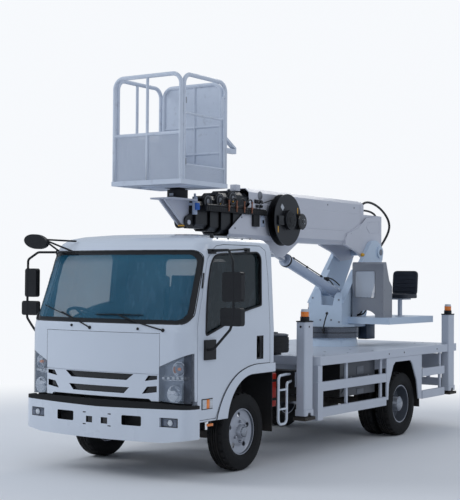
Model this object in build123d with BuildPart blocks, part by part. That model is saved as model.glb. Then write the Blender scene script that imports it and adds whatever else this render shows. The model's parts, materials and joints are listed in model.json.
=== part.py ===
"""Light cab-over truck with a slewing, telescoping boom and a levelled work basket.

Millimetres. +X is the driving direction, +Y the truck's left, +Z up, origin on the
ground under the middle of the truck. Places along the truck are written as distances
from the front axle (positive forwards) and turned into model places by ax(). The boom
gear's are written from a line GEAR_SET_BACK behind the axle.
"""

import os
from math import acos, sin, tan

from build123d import *

# Driving dimensions of the chassis
LENGTH = 5995
WHEELBASE = 3360
FRONT_OVERHANG = 1100
FRONT_TRACK = 1654
TYRE_R = 375
RIM_R = 222
TWIN_SPACING = 226
REAR_PAIR_Y = 780
KINGPIN_Y = 715
RAIL_Y = (300, 360)
RAIL_Z = (560, 720)

# Driving dimensions of the cab
CAB_HALF_W = 965
CAB_REAR = -505
CAB_FLOOR_Z = 780
SEAT_BOX_Z = 1060
DOOR_GAP = 5
DOOR_T = 55
WALL = 45

# Driving dimensions of the deck and its legs
DECK_TOP = 1037
DECK_HALF_W = 1045
DECK_FRONT = -1231
DECK_REAR = -4840
LEG_X = (-1023, -4662)
LEG_Y = 1004
LEG_SIZE = (172, 108)
LEG_Z = (508, 1409)
PAD_Z = 400

# Driving dimensions of the boom gear
SLEW_X = -3310
RING_R = 360
BOOM_PIVOT = (-4190, 2200)
LIFT_LUG = (-1985, 2150)
LIFT_FOOT = (-3510, 1670)
LEVEL_PIVOT = (-200, 2425)
SWING_X = -100
BASKET_X = (-373, 437)
BASKET_Y = (-432, 432)
BASKET_Z = (2770, 3870)

FRONT_AXLE_X = LENGTH / 2 - FRONT_OVERHANG
GEAR_SET_BACK = 52
datum = FRONT_AXLE_X


def ax(distance):
    """Model X of a distance from the datum: the front axle, or the boom gear's own line behind it."""
    return datum + distance


def block(x, y, z, mode=Mode.ADD):
    """Box between two places on each axis, x measured from the front axle."""
    with Locations((ax((x[0] + x[1]) / 2), (y[0] + y[1]) / 2, (z[0] + z[1]) / 2)):
        Box(abs(x[1] - x[0]), abs(y[1] - y[0]), abs(z[1] - z[0]), mode=mode)


def trace(points):
    """Closed outline of lines; an item of four numbers is an arc through its first place."""
    here = points[0]
    for point in [*points[1:], points[0]]:
        if len(point) == 4:
            ThreePointArc(here, point[:2], point[2:])
        else:
            Line(here, point)
        here = point[-2:]


def placed(points):
    """The same outline with every X turned from a distance to a model place."""
    return [tuple(ax(v) if n % 2 == 0 else v for n, v in enumerate(point)) for point in points]


def side_form(points, y, mode=Mode.ADD, corner=0, grow=0):
    """Outline in X (from the datum) and Z, filled between two Y places."""
    with BuildSketch(Plane.XZ.offset(-y[1])) as outline:
        with BuildLine():
            trace(placed(points))
        make_face()
        if corner:
            fillet(outline.vertices(), corner)
        if grow:
            offset(amount=grow, kind=Kind.INTERSECTION)
    extrude(outline.sketch, amount=y[1] - y[0], mode=mode)


def plan_form(points, z, mode=Mode.ADD, corner=0):
    """Outline in X (from the datum) and Y, filled between two heights."""
    with BuildSketch(Plane.XY.offset(z[0])) as outline:
        with BuildLine():
            trace(placed(points))
        make_face()
        if corner:
            fillet(outline.vertices(), corner)
    extrude(outline.sketch, amount=z[1] - z[0], mode=mode)


def end_form(points, x, mode=Mode.ADD, corner=0, grow=0):
    """Outline in Y and Z, filled between two X places from the datum."""
    with BuildSketch(Plane.YZ.offset(ax(x[0]))) as outline:
        with BuildLine():
            trace(points)
        make_face()
        if corner:
            fillet(outline.vertices(), corner)
        if grow:
            offset(amount=grow, kind=Kind.INTERSECTION)
    extrude(outline.sketch, amount=x[1] - x[0], mode=mode)


def mirrored(points):
    """The same end-view outline on the other side."""
    return [(-y, z) for y, z in points]


def span(side, near, far):
    """Y range on one side, lowest first."""
    return sorted((side * near, side * far))


def rod(start, end, radius, mode=Mode.ADD):
    """Round bar between two points whose X is measured from the datum."""
    p0 = Vector(ax(start[0]), start[1], start[2])
    p1 = Vector(ax(end[0]), end[1], end[2])
    with BuildSketch(Plane(origin=p0, z_dir=p1 - p0)) as section:
        Circle(radius)
    extrude(section.sketch, amount=(p1 - p0).length, mode=mode)


def tube(points, radius, bend):
    """Round tube through places, its inner corners bent to one radius."""
    places = [Vector(ax(px), py, pz) for px, py, pz in points]
    with BuildLine() as path:
        here = places[0]
        for before, corner, after in zip(places, places[1:], places[2:]):
            back = (before - corner).normalized()
            onward = (after - corner).normalized()
            half = acos(back.dot(onward)) / 2
            start = corner + back * (bend / tan(half))
            end = corner + onward * (bend / tan(half))
            inward = (back + onward).normalized()
            middle = corner + inward * (bend / sin(half) - bend)
            Line(here, start)
            ThreePointArc(start, middle, end)
            here = end
        Line(here, places[-1])
    with BuildSketch(Plane(origin=places[0], z_dir=places[1] - places[0])) as section:
        Circle(radius)
    sweep(section.sketch, path=path.line)


def turned(x, y, z, profile, axis="Y"):
    """Profile of (radius, along) points spun about an axis through a place."""
    direction = {"Y": (0, 1, 0), "Z": (0, 0, 1)}[axis]
    centre = Vector(ax(x), y, z)
    with BuildSketch(Plane(origin=centre, x_dir=(1, 0, 0),
                           z_dir=(0, 0, 1) if axis == "Y" else (0, -1, 0))) as outline:
        with BuildLine():
            Polyline(profile, close=True)
        make_face()
    revolve(outline.sketch, axis=Axis(centre, direction))


def write(part, name):
    """Label a finished piece and write its file."""
    part.part.label = name
    export_step(part.part, f"parts/{name}.step")


os.makedirs("parts", exist_ok=True)

SIDES = (("left", 1), ("right", -1))

# Chassis frame: two channel rails, kept apart by cross tubes
REAR_END = -(LENGTH - FRONT_OVERHANG) + 60
AXLE_Z = TYRE_R
SPRING_Y = 390
FRONT_SPRING_TOP = AXLE_Z + 114
REAR_SPRING_TOP = AXLE_Z + 145
# Spring hangers: (x from the front axle, outer face, underside on the spring's end)
HANGERS = ((560, 420, FRONT_SPRING_TOP), (-560, 420, FRONT_SPRING_TOP),
           (-WHEELBASE + 620, 442, REAR_SPRING_TOP), (-WHEELBASE - 620, 442, REAR_SPRING_TOP))
with BuildPart() as frame_rails:
    for _, side in SIDES:
        outer, inner = side * RAIL_Y[1], side * RAIL_Y[0]
        channel = [(outer, RAIL_Z[0]), (inner, RAIL_Z[0]), (inner, RAIL_Z[0] + 10),
                   (outer - side * 10, RAIL_Z[0] + 10), (outer - side * 10, RAIL_Z[1] - 10),
                   (inner, RAIL_Z[1] - 10), (inner, RAIL_Z[1]), (outer, RAIL_Z[1])]
        end_form(channel, (REAR_END, 960))
        for place, width, low in HANGERS:
            near, far = sorted((side * RAIL_Y[1], side * width))
            block((place - 25, place + 25), (near, far), (low, RAIL_Z[1] - 50))
write(frame_rails, "frame_rails")

# Cross tubes: (x from the front axle, length along X, lowest, highest)
CROSS_TUBES = ((900, 60, 610, 700), (-960, 60, 610, 700), (-1650, 60, 610, 700),
               (-2400, 60, 610, 700), (-3900, 60, 610, 700), (-4780, 60, 610, 700))
LEG_BOX_Z = (724, 904)
LEG_BOX_HALF = 935
LEG_BOX_WALL = 10
with BuildPart() as crossmembers:
    for place, length, low, high in CROSS_TUBES:
        block((place - length / 2, place + length / 2), (-350, 350), (low, high))
    for _, side in SIDES:
        low, high = sorted((side * RAIL_Y[0], side * RAIL_Y[1]))
        block((860, 940), (low, high), (RAIL_Z[1], 745))
        block((-540, -480), (low, high), (RAIL_Z[1], 929))
        block((LEG_X[0] - 86, LEG_X[0] + 86), (low, high), (RAIL_Z[1], LEG_BOX_Z[0]))
    front_box = (LEG_X[0] - 86, LEG_X[0] + 86)
    block(front_box, (-LEG_BOX_HALF, LEG_BOX_HALF), LEG_BOX_Z)
    block((front_box[0] + LEG_BOX_WALL, front_box[1] - LEG_BOX_WALL), (-LEG_BOX_HALF, LEG_BOX_HALF),
          (LEG_BOX_Z[0] + LEG_BOX_WALL, LEG_BOX_Z[1] - LEG_BOX_WALL), Mode.SUBTRACT)
write(crossmembers, "crossmembers")

# Front axle: a dropped beam with its spring packs and kingpin bosses
with BuildPart() as front_axle:
    beam = [(-KINGPIN_Y + 20, AXLE_Z + 45), (-480, AXLE_Z - 20), (480, AXLE_Z - 20),
            (KINGPIN_Y - 20, AXLE_Z + 45), (KINGPIN_Y - 20, AXLE_Z - 45),
            (500, AXLE_Z - 90), (-500, AXLE_Z - 90), (-KINGPIN_Y + 20, AXLE_Z - 45)]
    end_form(beam, (-35, 35))
    for _, side in SIDES:
        turned(0, side * KINGPIN_Y, AXLE_Z, [(0, -50), (32, -50), (32, 50), (0, 50)], "Z")
        for half, rise in ((560, 0), (470, -9), (380, -18), (290, -27)):
            low = AXLE_Z + 60 + rise
            spring = [(-half, low + 45), (0, low), (half, low + 45), (half, low + 54),
                      (0, low + 9.5), (-half, low + 54)]
            side_form(spring, (side * SPRING_Y - 30, side * SPRING_Y + 30))
        block((-60, 60), (side * SPRING_Y - 38, side * SPRING_Y + 38),
              (AXLE_Z - 30, AXLE_Z + 42))
write(front_axle, "front_axle")

# Rear axle: tube, round differential housing, spring packs and brake drums' stubs
with BuildPart() as rear_axle:
    rod((-WHEELBASE, -470, AXLE_Z), (-WHEELBASE, 470, AXLE_Z), 52)
    turned(-WHEELBASE, 0, AXLE_Z, [(0, -75), (120, -75), (150, -45), (150, 45), (120, 75), (0, 75)])
    rod((-WHEELBASE + 140, 0, AXLE_Z + 20), (-WHEELBASE + 260, 0, AXLE_Z + 30), 55)
    for _, side in SIDES:
        for half, rise in ((620, 0), (540, -9), (450, -18), (350, -27), (250, -36)):
            low = AXLE_Z + 96 + rise
            spring = [(-WHEELBASE - half, low + 40), (-WHEELBASE, low), (-WHEELBASE + half, low + 40),
                      (-WHEELBASE + half, low + 49), (-WHEELBASE, low + 9.5),
                      (-WHEELBASE - half, low + 49)]
            side_form(spring, (side * 410 - 32, side * 410 + 32))
        block((-WHEELBASE - 60, -WHEELBASE + 60), (side * 410 - 36, side * 410 + 36),
              (AXLE_Z + 30, AXLE_Z + 70))
write(rear_axle, "rear_axle")

# Engine block with gearbox and the propeller shaft to the rear axle
with BuildPart() as driveline:
    block((-460, 200), (-270, 270), (480, 905))
    block((-900, -460), (-150, 150), (500, 720))
    rod((-900, 0, 560), (-WHEELBASE + 262, 0, AXLE_Z + 32), 38)
write(driveline, "driveline")

# Fuel tank on the right-hand rail and the air cleaner behind the cab
with BuildPart() as fuel_tank:
    end_form([(-375, 470), (-760, 470), (-760, 800), (-375, 800)], (-2050, -1400), corner=60)
    for place in (-1900, -1550):
        block((place - 25, place + 25), (-400, -RAIL_Y[1]), (580, 700))
write(fuel_tank, "fuel_tank")

with BuildPart() as air_cleaner:
    turned(-780, 785, 1100, [(0, 0), (140, 0), (150, 12), (150, 150), (135, 168), (0, 168)], "Z")
    block((-840, -720), (300, 835), (1072, 1101))
    block((-820, -740), (RAIL_Y[0], RAIL_Y[1]), (RAIL_Z[1], 1073))
write(air_cleaner, "air_cleaner")

# Knuckles: stub axle with an eye above and below the kingpin boss
for word, side in SIDES:
    with BuildPart() as knuckle:
        for low, high in ((AXLE_Z - 82, AXLE_Z - 52), (AXLE_Z + 52, AXLE_Z + 82)):
            turned(0, side * KINGPIN_Y, (low + high) / 2,
                   [(0, -15), (34, -15), (34, 15), (0, 15)], "Z")
            block((-28, 28), (side * KINGPIN_Y, side * (KINGPIN_Y + 56)), (low, high))
        block((-40, 40), (side * (KINGPIN_Y + 38), side * (KINGPIN_Y + 62)),
              (AXLE_Z - 82, AXLE_Z + 82))
        rod((0, side * (KINGPIN_Y + 60), AXLE_Z), (0, side * (KINGPIN_Y + 150), AXLE_Z), 30)
    write(knuckle, f"knuckle_{word}")

# Wheels: (name, x, tyre centre planes, dish direction)
FRONT_Y = FRONT_TRACK / 2
TYRE_PROFILE = ((RIM_R + 0.5, -70), (RIM_R + 20, -88), (300, -96), (350, -84), (368, -66),
                (TYRE_R, -30), (TYRE_R, 30), (368, 66), (350, 84), (300, 96),
                (RIM_R + 20, 88), (RIM_R + 0.5, 70))


def tyre_ring(x, y):
    turned(x, y, AXLE_Z, list(TYRE_PROFILE))


def rim_disc(x, y, side, depth, hub):
    """Rim with a dished disc; depth is the disc's place out from the rim's middle."""
    d = side * depth
    t = side * 8
    flange = side * 72
    profile = [(hub, d), (110, d), (150, d - 14 * side), (RIM_R - 12, d - 20 * side),
               (RIM_R - 12, -flange), (RIM_R, -flange), (RIM_R, flange),
               (RIM_R - 10, flange), (RIM_R - 10, d + t), (150, d - 14 * side + t),
               (110, d + t), (hub, d + t)]
    turned(x, y, AXLE_Z, profile)


for axle_name, x, planes in (("front", 0, (FRONT_Y,)),
                             ("rear", -WHEELBASE, (REAR_PAIR_Y - TWIN_SPACING / 2,
                                                   REAR_PAIR_Y + TWIN_SPACING / 2))):
    for word, side in SIDES:
        with BuildPart() as tyre:
            for plane in planes:
                tyre_ring(x, side * plane)
        write(tyre, f"tyre_{axle_name}_{word}")
        with BuildPart() as rim:
            if axle_name == "front":
                rim_disc(x, side * planes[0], side, 40, 32)
                hub_from, hub_to = side * (planes[0] - 20), side * (planes[0] + 95)
                turned(x, 0, AXLE_Z, [(31, hub_from), (70, hub_from), (70, side * (planes[0] + 60)),
                                      (55, hub_to), (0, hub_to), (0, side * (planes[0] + 60)),
                                      (31, side * (planes[0] + 60))])
            else:
                rim_disc(x, side * planes[0], side, 72, 60)
                rim_disc(x, side * planes[1], -side, 72, 60)
                hub_to = side * (planes[1] + 60)
                turned(x, 0, AXLE_Z, [(0, side * 476), (100, side * 476), (100, side * 560),
                                      (62, side * 600), (62, side * 790), (85, side * 800),
                                      (85, hub_to), (0, hub_to)])
            if axle_name == "front":
                with Locations(Plane(origin=(ax(x), side * (planes[0] + 40), AXLE_Z),
                                     z_dir=(0, 1, 0))):
                    with PolarLocations(158, 5):
                        Cylinder(24, 120, mode=Mode.SUBTRACT)
        write(rim, f"rim_{axle_name}_{word}")

# Cab body: plan sections from the sill to the roof, each one an arc in front and three straight sides
NOSE_BOW = 107
# (height, nose, half width, rear, front corner radius)
CAB_SECTIONS = ((540, 1088, 965, -505, 180), (1350, 1088, 965, -505, 180), (1410, 1078, 962, -505, 178),
                (2115, 800, 925, -505, 170), (2185, 742, 903, -500, 160), (2230, 665, 857, -470, 140),
                (2258, 540, 755, -400, 120), (2278, 380, 520, -300, 110))
ROOF_EDGE_Z = 2150
REAR_CORNER = 38


def cab_form(inset=0):
    """Cab body drawn in from its outer face; the roof comes down by the same amount."""
    with BuildPart() as form:
        for height, nose, half, rear, corner in CAB_SECTIONS:
            z = height - (inset if height > ROOF_EDGE_Z else 0)
            front, side, back = nose - inset, half - inset, rear + inset
            bow = NOSE_BOW * side / CAB_HALF_W
            with BuildSketch(Plane.XY.offset(z)) as section:
                with BuildLine():
                    trace(placed([(front - bow, side), (front, 0, front - bow, -side),
                                     (back, -side), (back, side)]))
                make_face()
                fillet(section.vertices().group_by(Axis.X)[-1], corner - 0.8 * inset)
                fillet(section.vertices().group_by(Axis.X)[0], max(REAR_CORNER - 0.7 * inset, 5))
        loft(ruled=True)
    return form.part


cab_outer = cab_form()
with BuildPart() as inner_space:
    add(cab_form(WALL))
    side_form([(-600, SEAT_BOX_Z), (-600, 2300), (1200, 2300), (1200, CAB_FLOOR_Z), (360, CAB_FLOOR_Z),
               (360, SEAT_BOX_Z)], (-1000, 1000), Mode.INTERSECT)

# Side view: door shut line, window and the wheel arch with its raised edge
DOOR_OUTLINE = [(836, 560), (838, 1400), (804, 1521), (748, 1676), (698, 1836), (635, 2026), (560, 2115),
                (470, 2155), (347, 2170), (-295, 2172), (-370, 2130), (-400, 1871), (-403, 1426), (-403, 1024),
                (-190, 1024), (-10, 1006, 150, 961), (391, 796, 536, 560)]
DOOR_WINDOW = [(712, 1322), (690, 1551), (647, 1806), (589, 1990), (525, 2062), (440, 2080), (-225, 2110),
               (-278, 2060), (-252, 1593), (-215, 1586), (57, 1541), (411, 1412)]
ARCH_CENTRE = (-99, 468)
ARCH_R = 461
ARCH_OPEN = [(-600, 400), (-600, 929), (-99, 929), (227, 794, 355, 540), (385, 480), (390, 400)]
ARCH_EDGE = [(355, 540), (227, 794, -99, 929), (-495, 931), (-495, 1018), (-190, 1018),
             (-10, 1000, 150, 955), (385, 790, 530, 540)]
ARCH_EDGE_T = 12
HANDLE = ((-285, -160), (1065, 1295))

# Front view: windscreen, lid, grille slots and lamps
SCREEN_OUTLINE = [(-943, 1428), (943, 1428), (905, 2112), (-905, 2112)]
SCREEN_CORNER = 105
SCREEN_SIDE = [(880, 1400), (850, 1521), (776, 1700), (727, 1850), (680, 2000), (640, 2125), (1300, 2125),
               (1300, 1400)]
PANEL_HALF = 682
PANEL_Z = (752, 1350)
SEAM = 4
LAMP_OUTLINE = [(679, 738), (679, 1045), (957, 1168), (957, 716)]
LAMP_DEPTH = 80
SIDE_SLOTS = ([(566, 963), (658, 965), (658, 930), (530, 912)], [(554, 861), (655, 871), (655, 815), (503, 795)])
SLOTS = ([(410, 970), (332, 912), (-332, 912), (-410, 970)], [(363, 847), (305, 790), (-305, 790), (-363, 847)],
         *SIDE_SLOTS, *(mirrored(slot) for slot in SIDE_SLOTS))
SLOT_DEPTH = 26
REAR_WINDOW = ((-400, 400), (1765, 2050))

with BuildPart() as screen_space:
    end_form(SCREEN_OUTLINE, (500, 1250), corner=SCREEN_CORNER)
    side_form(SCREEN_SIDE, (-1000, 1000), Mode.INTERSECT)

with BuildPart() as cab_shell:
    add(cab_outer)
    for _, side in SIDES:
        side_form(ARCH_EDGE, span(side, CAB_HALF_W - 5, CAB_HALF_W + ARCH_EDGE_T))
    add(inner_space.part, mode=Mode.SUBTRACT)
    block((0, 1200), (-CAB_HALF_W + WALL, CAB_HALF_W - WALL), (400, 745), Mode.SUBTRACT)
    block((-600, 360), (-290, 290), (400, 960), Mode.SUBTRACT)
    side_form(ARCH_OPEN, (-1000, 1000), Mode.SUBTRACT)
    block((900, 1200), (-PANEL_HALF, PANEL_HALF), (400, PANEL_Z[1]), Mode.SUBTRACT)
    add(screen_space.part, mode=Mode.SUBTRACT)
    end_form([(REAR_WINDOW[0][0], REAR_WINDOW[1][0]), (REAR_WINDOW[0][1], REAR_WINDOW[1][0]),
              (REAR_WINDOW[0][1], REAR_WINDOW[1][1]), (REAR_WINDOW[0][0], REAR_WINDOW[1][1])],
             (CAB_REAR - 20, CAB_REAR + 80), Mode.SUBTRACT, corner=60)
    for _, side in SIDES:
        side_form(DOOR_OUTLINE, span(side, 700, 1000), Mode.SUBTRACT, grow=DOOR_GAP)
        lamp = LAMP_OUTLINE if side > 0 else mirrored(LAMP_OUTLINE)
        end_form(lamp, (860, 1200), Mode.SUBTRACT, grow=2)
    for _, side in SIDES:
        block((836 + DOOR_GAP, 1200), span(side, 800, 1000), (400, 733), Mode.SUBTRACT)
write(cab_shell, "cab_shell")

# Front panel: lid above, grille below with its dark slots, one thickness
with BuildPart() as pockets:
    for slot in SLOTS:
        end_form(slot, (900, 1200))
    add(cab_form(SLOT_DEPTH), mode=Mode.SUBTRACT)
with BuildPart() as lid_seam:
    block((900, 1200), (-PANEL_HALF, PANEL_HALF), (975, 975 + SEAM))
    add(cab_form(12), mode=Mode.SUBTRACT)
half = PANEL_HALF - SEAM
with BuildPart() as front_panel:
    add(cab_outer)
    end_form([(-half, 732), (-600, 732), (-575, PANEL_Z[0]), (575, PANEL_Z[0]), (600, 732), (half, 732),
              (half, PANEL_Z[1] - SEAM), (-half, PANEL_Z[1] - SEAM)], (900, 1200), Mode.INTERSECT)
    add(cab_form(WALL), mode=Mode.SUBTRACT)
    for _, side in SIDES:
        lamp = LAMP_OUTLINE if side > 0 else mirrored(LAMP_OUTLINE)
        end_form(lamp, (860, 1200), Mode.SUBTRACT, grow=3)
    add(pockets.part, mode=Mode.SUBTRACT)
    add(lid_seam.part, mode=Mode.SUBTRACT)
write(front_panel, "front_panel")

# Head lamps that wrap round the front corners
with BuildPart() as headlamps:
    add(cab_outer)
    block((905, 1200), (-1000, 1000), (700, 1200), Mode.INTERSECT)
    with BuildPart(mode=Mode.PRIVATE) as lamp_views:
        end_form(LAMP_OUTLINE, (860, 1200))
        end_form(mirrored(LAMP_OUTLINE), (860, 1200))
    add(lamp_views.part, mode=Mode.INTERSECT)
    add(cab_form(LAMP_DEPTH), mode=Mode.SUBTRACT)
write(headlamps, "headlamps")

# Bumper: a bowed shell with rounded ends, lamp pockets and towing openings
BUMPER_HALF_W = 1008
BUMPER_OUTER = [(860, -BUMPER_HALF_W), (995, -BUMPER_HALF_W), (FRONT_OVERHANG, 0, 995, BUMPER_HALF_W),
                (860, BUMPER_HALF_W)]
BUMPER_INNER = [(800, -968), (952, -968), (FRONT_OVERHANG - 52, 0, 952, 968), (800, 968)]
BUMPER_FRONT = [(-1010, 400), (-740, 364), (0, 358, 740, 364), (1010, 400), (1010, 700), (670, 722), (-670, 722),
                (-1010, 700)]
FOG_POCKET = ((695, 880), (505, 590))
TOW_OPENING = ((290, 505), (500, 590))
with BuildPart() as bumper:
    for outline, corner, mode in ((BUMPER_OUTER, 130, Mode.ADD), (BUMPER_INNER, 85, Mode.SUBTRACT)):
        with BuildSketch(Plane.XY.offset(340)) as bumper_plan:
            with BuildLine():
                trace(placed(outline))
            make_face()
            fillet(bumper_plan.vertices().sort_by(Axis.X)[2:], corner)
        extrude(bumper_plan.sketch, amount=400, mode=mode)
    end_form(BUMPER_FRONT, (700, 1200), Mode.INTERSECT)
    for _, side in SIDES:
        low, high = span(side, *TOW_OPENING[0])
        z0, z1 = TOW_OPENING[1]
        end_form([(low, z0), (high, z0), (high, z1), (low, z1)], (960, 1200), Mode.SUBTRACT, corner=14)
        low, high = span(side, *FOG_POCKET[0])
        z0, z1 = FOG_POCKET[1]
        front = 1020
        side_form([(front, z0), (1200, z0), (1200, z1), (front, z1)], (low, high), Mode.SUBTRACT)
        low, high = span(side, 52, 128)
        block((1085, 1200), (low, high), (498, 556), Mode.SUBTRACT)
    for _, side in SIDES:
        block((960, 1060), span(side, *RAIL_Y), (600, 690))
write(bumper, "bumper")

# Glass of the windscreen, curved with the cab, and of the rear window
GLASS_INSET = 8
GLASS_T = 6
with BuildPart() as cab_glass:
    add(cab_form(GLASS_INSET))
    end_form(SCREEN_OUTLINE, (500, 1250), Mode.INTERSECT, corner=SCREEN_CORNER, grow=-1)
    side_form(SCREEN_SIDE, (-1000, 1000), Mode.INTERSECT)
    add(cab_form(GLASS_INSET + GLASS_T), mode=Mode.SUBTRACT)
    pane = [(REAR_WINDOW[0][0] + 1, REAR_WINDOW[1][0] + 1), (REAR_WINDOW[0][1] - 1, REAR_WINDOW[1][0] + 1),
            (REAR_WINDOW[0][1] - 1, REAR_WINDOW[1][1] - 1), (REAR_WINDOW[0][0] + 1, REAR_WINDOW[1][1] - 1)]
    end_form(pane, (CAB_REAR + 15, CAB_REAR + 15 + GLASS_T), corner=59)
write(cab_glass, "cab_glass")

# Dashboard with the steering column and wheel on the right-hand side
WHEEL_CENTRE = (570, -575, 1440)
with BuildPart() as dashboard:
    side_form([(985, 1000), (985, 1330), (860, 1400), (700, 1380), (660, 1250), (820, 1000)], (-640, 640))
    side_form([(900, 1175), (900, 1372), (860, 1400), (700, 1380), (660, 1250), (700, 1175)], (-800, 800))
    rod((760, WHEEL_CENTRE[1], 1180), WHEEL_CENTRE, 30)
    with Locations(Plane(origin=(ax(WHEEL_CENTRE[0]), WHEEL_CENTRE[1], WHEEL_CENTRE[2]), z_dir=(-0.54, 0, 0.84))):
        Torus(205, 15)
        Box(400, 30, 14)
        Cylinder(45, 24)
    add(cab_form(WALL + 1), mode=Mode.INTERSECT)
write(dashboard, "dashboard")

# Seats: a driver's seat on the right and a double bench, their backs leaning on the rear wall
with BuildPart() as seats:
    for y0, y1 in ((-840, -310), (-240, 830)):
        side_form([(-400, SEAT_BOX_Z), (-400, 1180), (250, 1205), (270, SEAT_BOX_Z)], (y0, y1))
        side_form([(-300, 1150), (-400, 1150), (-456, 1860), (-390, 1880)], (y0, y1))
        middle = (y0 + y1) / 2
        side_form([(-452, 1855), (-456, 2010), (-400, 2020), (-388, 1855)], (middle - 130, middle + 130))
write(seats, "seats")

# Doors: skin and inner panel as one thickness, with the window and handle pocket cut in
door_inside = cab_form(DOOR_T)
GLASS_DEPTH = 24
with BuildPart() as side_glass:
    add(cab_form(GLASS_DEPTH))
    block((-700, 1000), (-800, 800), (500, 2400), Mode.SUBTRACT)
    add(cab_form(GLASS_DEPTH + GLASS_T), mode=Mode.SUBTRACT)
for word, side in SIDES:
    with BuildPart() as door:
        add(cab_outer)
        side_form(DOOR_OUTLINE, span(side, 700, 1000), Mode.INTERSECT)
        add(door_inside, mode=Mode.SUBTRACT)
        side_form(DOOR_WINDOW, span(side, 700, 1000), Mode.SUBTRACT, corner=14)
        block(HANDLE[0], span(side, CAB_HALF_W - 14, CAB_HALF_W + 10), HANDLE[1], Mode.SUBTRACT)
    write(door, f"door_{word}")
    with BuildPart() as glass:
        add(side_glass.part)
        side_form(DOOR_WINDOW, span(side, 700, 1000), Mode.INTERSECT, corner=14, grow=-0.5)
    write(glass, f"door_glass_{word}")

# Mirrors: (x, bow from the door up to the roof edge as y and z, big head, small head, y and z ranges)
MIRRORS = {
    "left": (700, ((980, 1195), (1045, 1205), (1223, 1386), (1261, 1477), (1251, 2010), (1165, 2112), (935, 2112)),
             ((1140, 1348), (1640, 1911)), ((1121, 1350), (1420, 1585))),
    "right": (700, ((980, 1195), (1045, 1205), (1195, 1362), (1262, 1440), (1256, 2030), (1175, 2105), (935, 2105)),
              ((1140, 1290), (1650, 1940)), ((1130, 1330), (1465, 1610))),
}
for word, side in SIDES:
    x, bow, big, small = MIRRORS[word]
    with BuildPart() as mirrors:
        tube([(x if n < 5 else x - 60 * (n - 4), side * y, z) for n, (y, z) in enumerate(bow)], 12, 45)
        block((565, 742), span(side, 950, 983), (1103, 1286))
        block((530, 620), span(side, 905, 952), (2080, 2124))
        for (y0, y1), (z0, z1) in (big, small):
            end_form([(side * y0, z0), (side * y1, z0), (side * y1, z1), (side * y0, z1)],
                     (x - 52, x + 8), corner=26)
        rod((560, side * 944, 2104), (-20, side * 944, 2138), 8)
        block((-45, 10), span(side, 905, 955), (2112, 2146))
        add(cab_outer, mode=Mode.SUBTRACT)
    write(mirrors, f"mirrors_{word}")

# Close-view mirror on its tube frame at the right-hand front roof corner
with BuildPart() as front_mirror:
    rod((690, -620, 2210), (875, -890, 2225), 9)
    rod((705, -830, 2110), (875, -890, 2225), 9)
    rod((790, -560, 2100), (875, -890, 2225), 9)
    with BuildSketch(Plane.YZ.offset(ax(850))) as mirror_face:
        with Locations((-985, 2205)):
            Ellipse(150, 72, rotation=-8)
    extrude(mirror_face.sketch, amount=45)
    add(cab_outer, mode=Mode.SUBTRACT)
write(front_mirror, "front_mirror")

# Deck: plate, side skirts, cross bearers and the subframe on the rails
POST_X = (-1940, -2770, -3850, -4420)
SKIRT = 95
CHAMFER = (60, 80)
with BuildPart() as deck:
    deck_plan = [(DECK_FRONT, -DECK_HALF_W + CHAMFER[1]), (DECK_FRONT, DECK_HALF_W - CHAMFER[1]),
                 (DECK_FRONT - CHAMFER[0], DECK_HALF_W), (DECK_REAR, DECK_HALF_W),
                 (DECK_REAR, -DECK_HALF_W), (DECK_FRONT - CHAMFER[0], -DECK_HALF_W)]
    plan_form(deck_plan, (DECK_TOP - SKIRT, DECK_TOP))
    with BuildSketch(Plane.XY.offset(DECK_TOP - SKIRT)) as under_deck:
        with BuildLine():
            trace(placed(deck_plan))
        make_face()
        offset(amount=-14, kind=Kind.INTERSECTION)
    extrude(under_deck.sketch, amount=SKIRT - 18, mode=Mode.SUBTRACT)
    for _, side in SIDES:
        block((REAR_END + 20, DECK_FRONT - 5), span(side, 300, 360), (RAIL_Z[1], DECK_TOP - 17))
    for place in (-1345,) + POST_X + (-3300,):
        block((place - 25, place + 25), (-DECK_HALF_W + 13, DECK_HALF_W - 13), (DECK_TOP - 80, DECK_TOP - 17))
    for _, side in SIDES:
        leg_cut = (LEG_X[1] - LEG_SIZE[0] / 2 - 8, LEG_X[1] + LEG_SIZE[0] / 2 + 8)
        block(leg_cut, span(side, LEG_Y - LEG_SIZE[1] / 2 - 8, 1100), (900, 1100), Mode.SUBTRACT)
    block((LEG_X[1] - 80, LEG_X[1] + 80), (-400, 400), (RAIL_Z[1], LEG_BOX_Z[1]), Mode.SUBTRACT)
write(deck, "deck")

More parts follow.
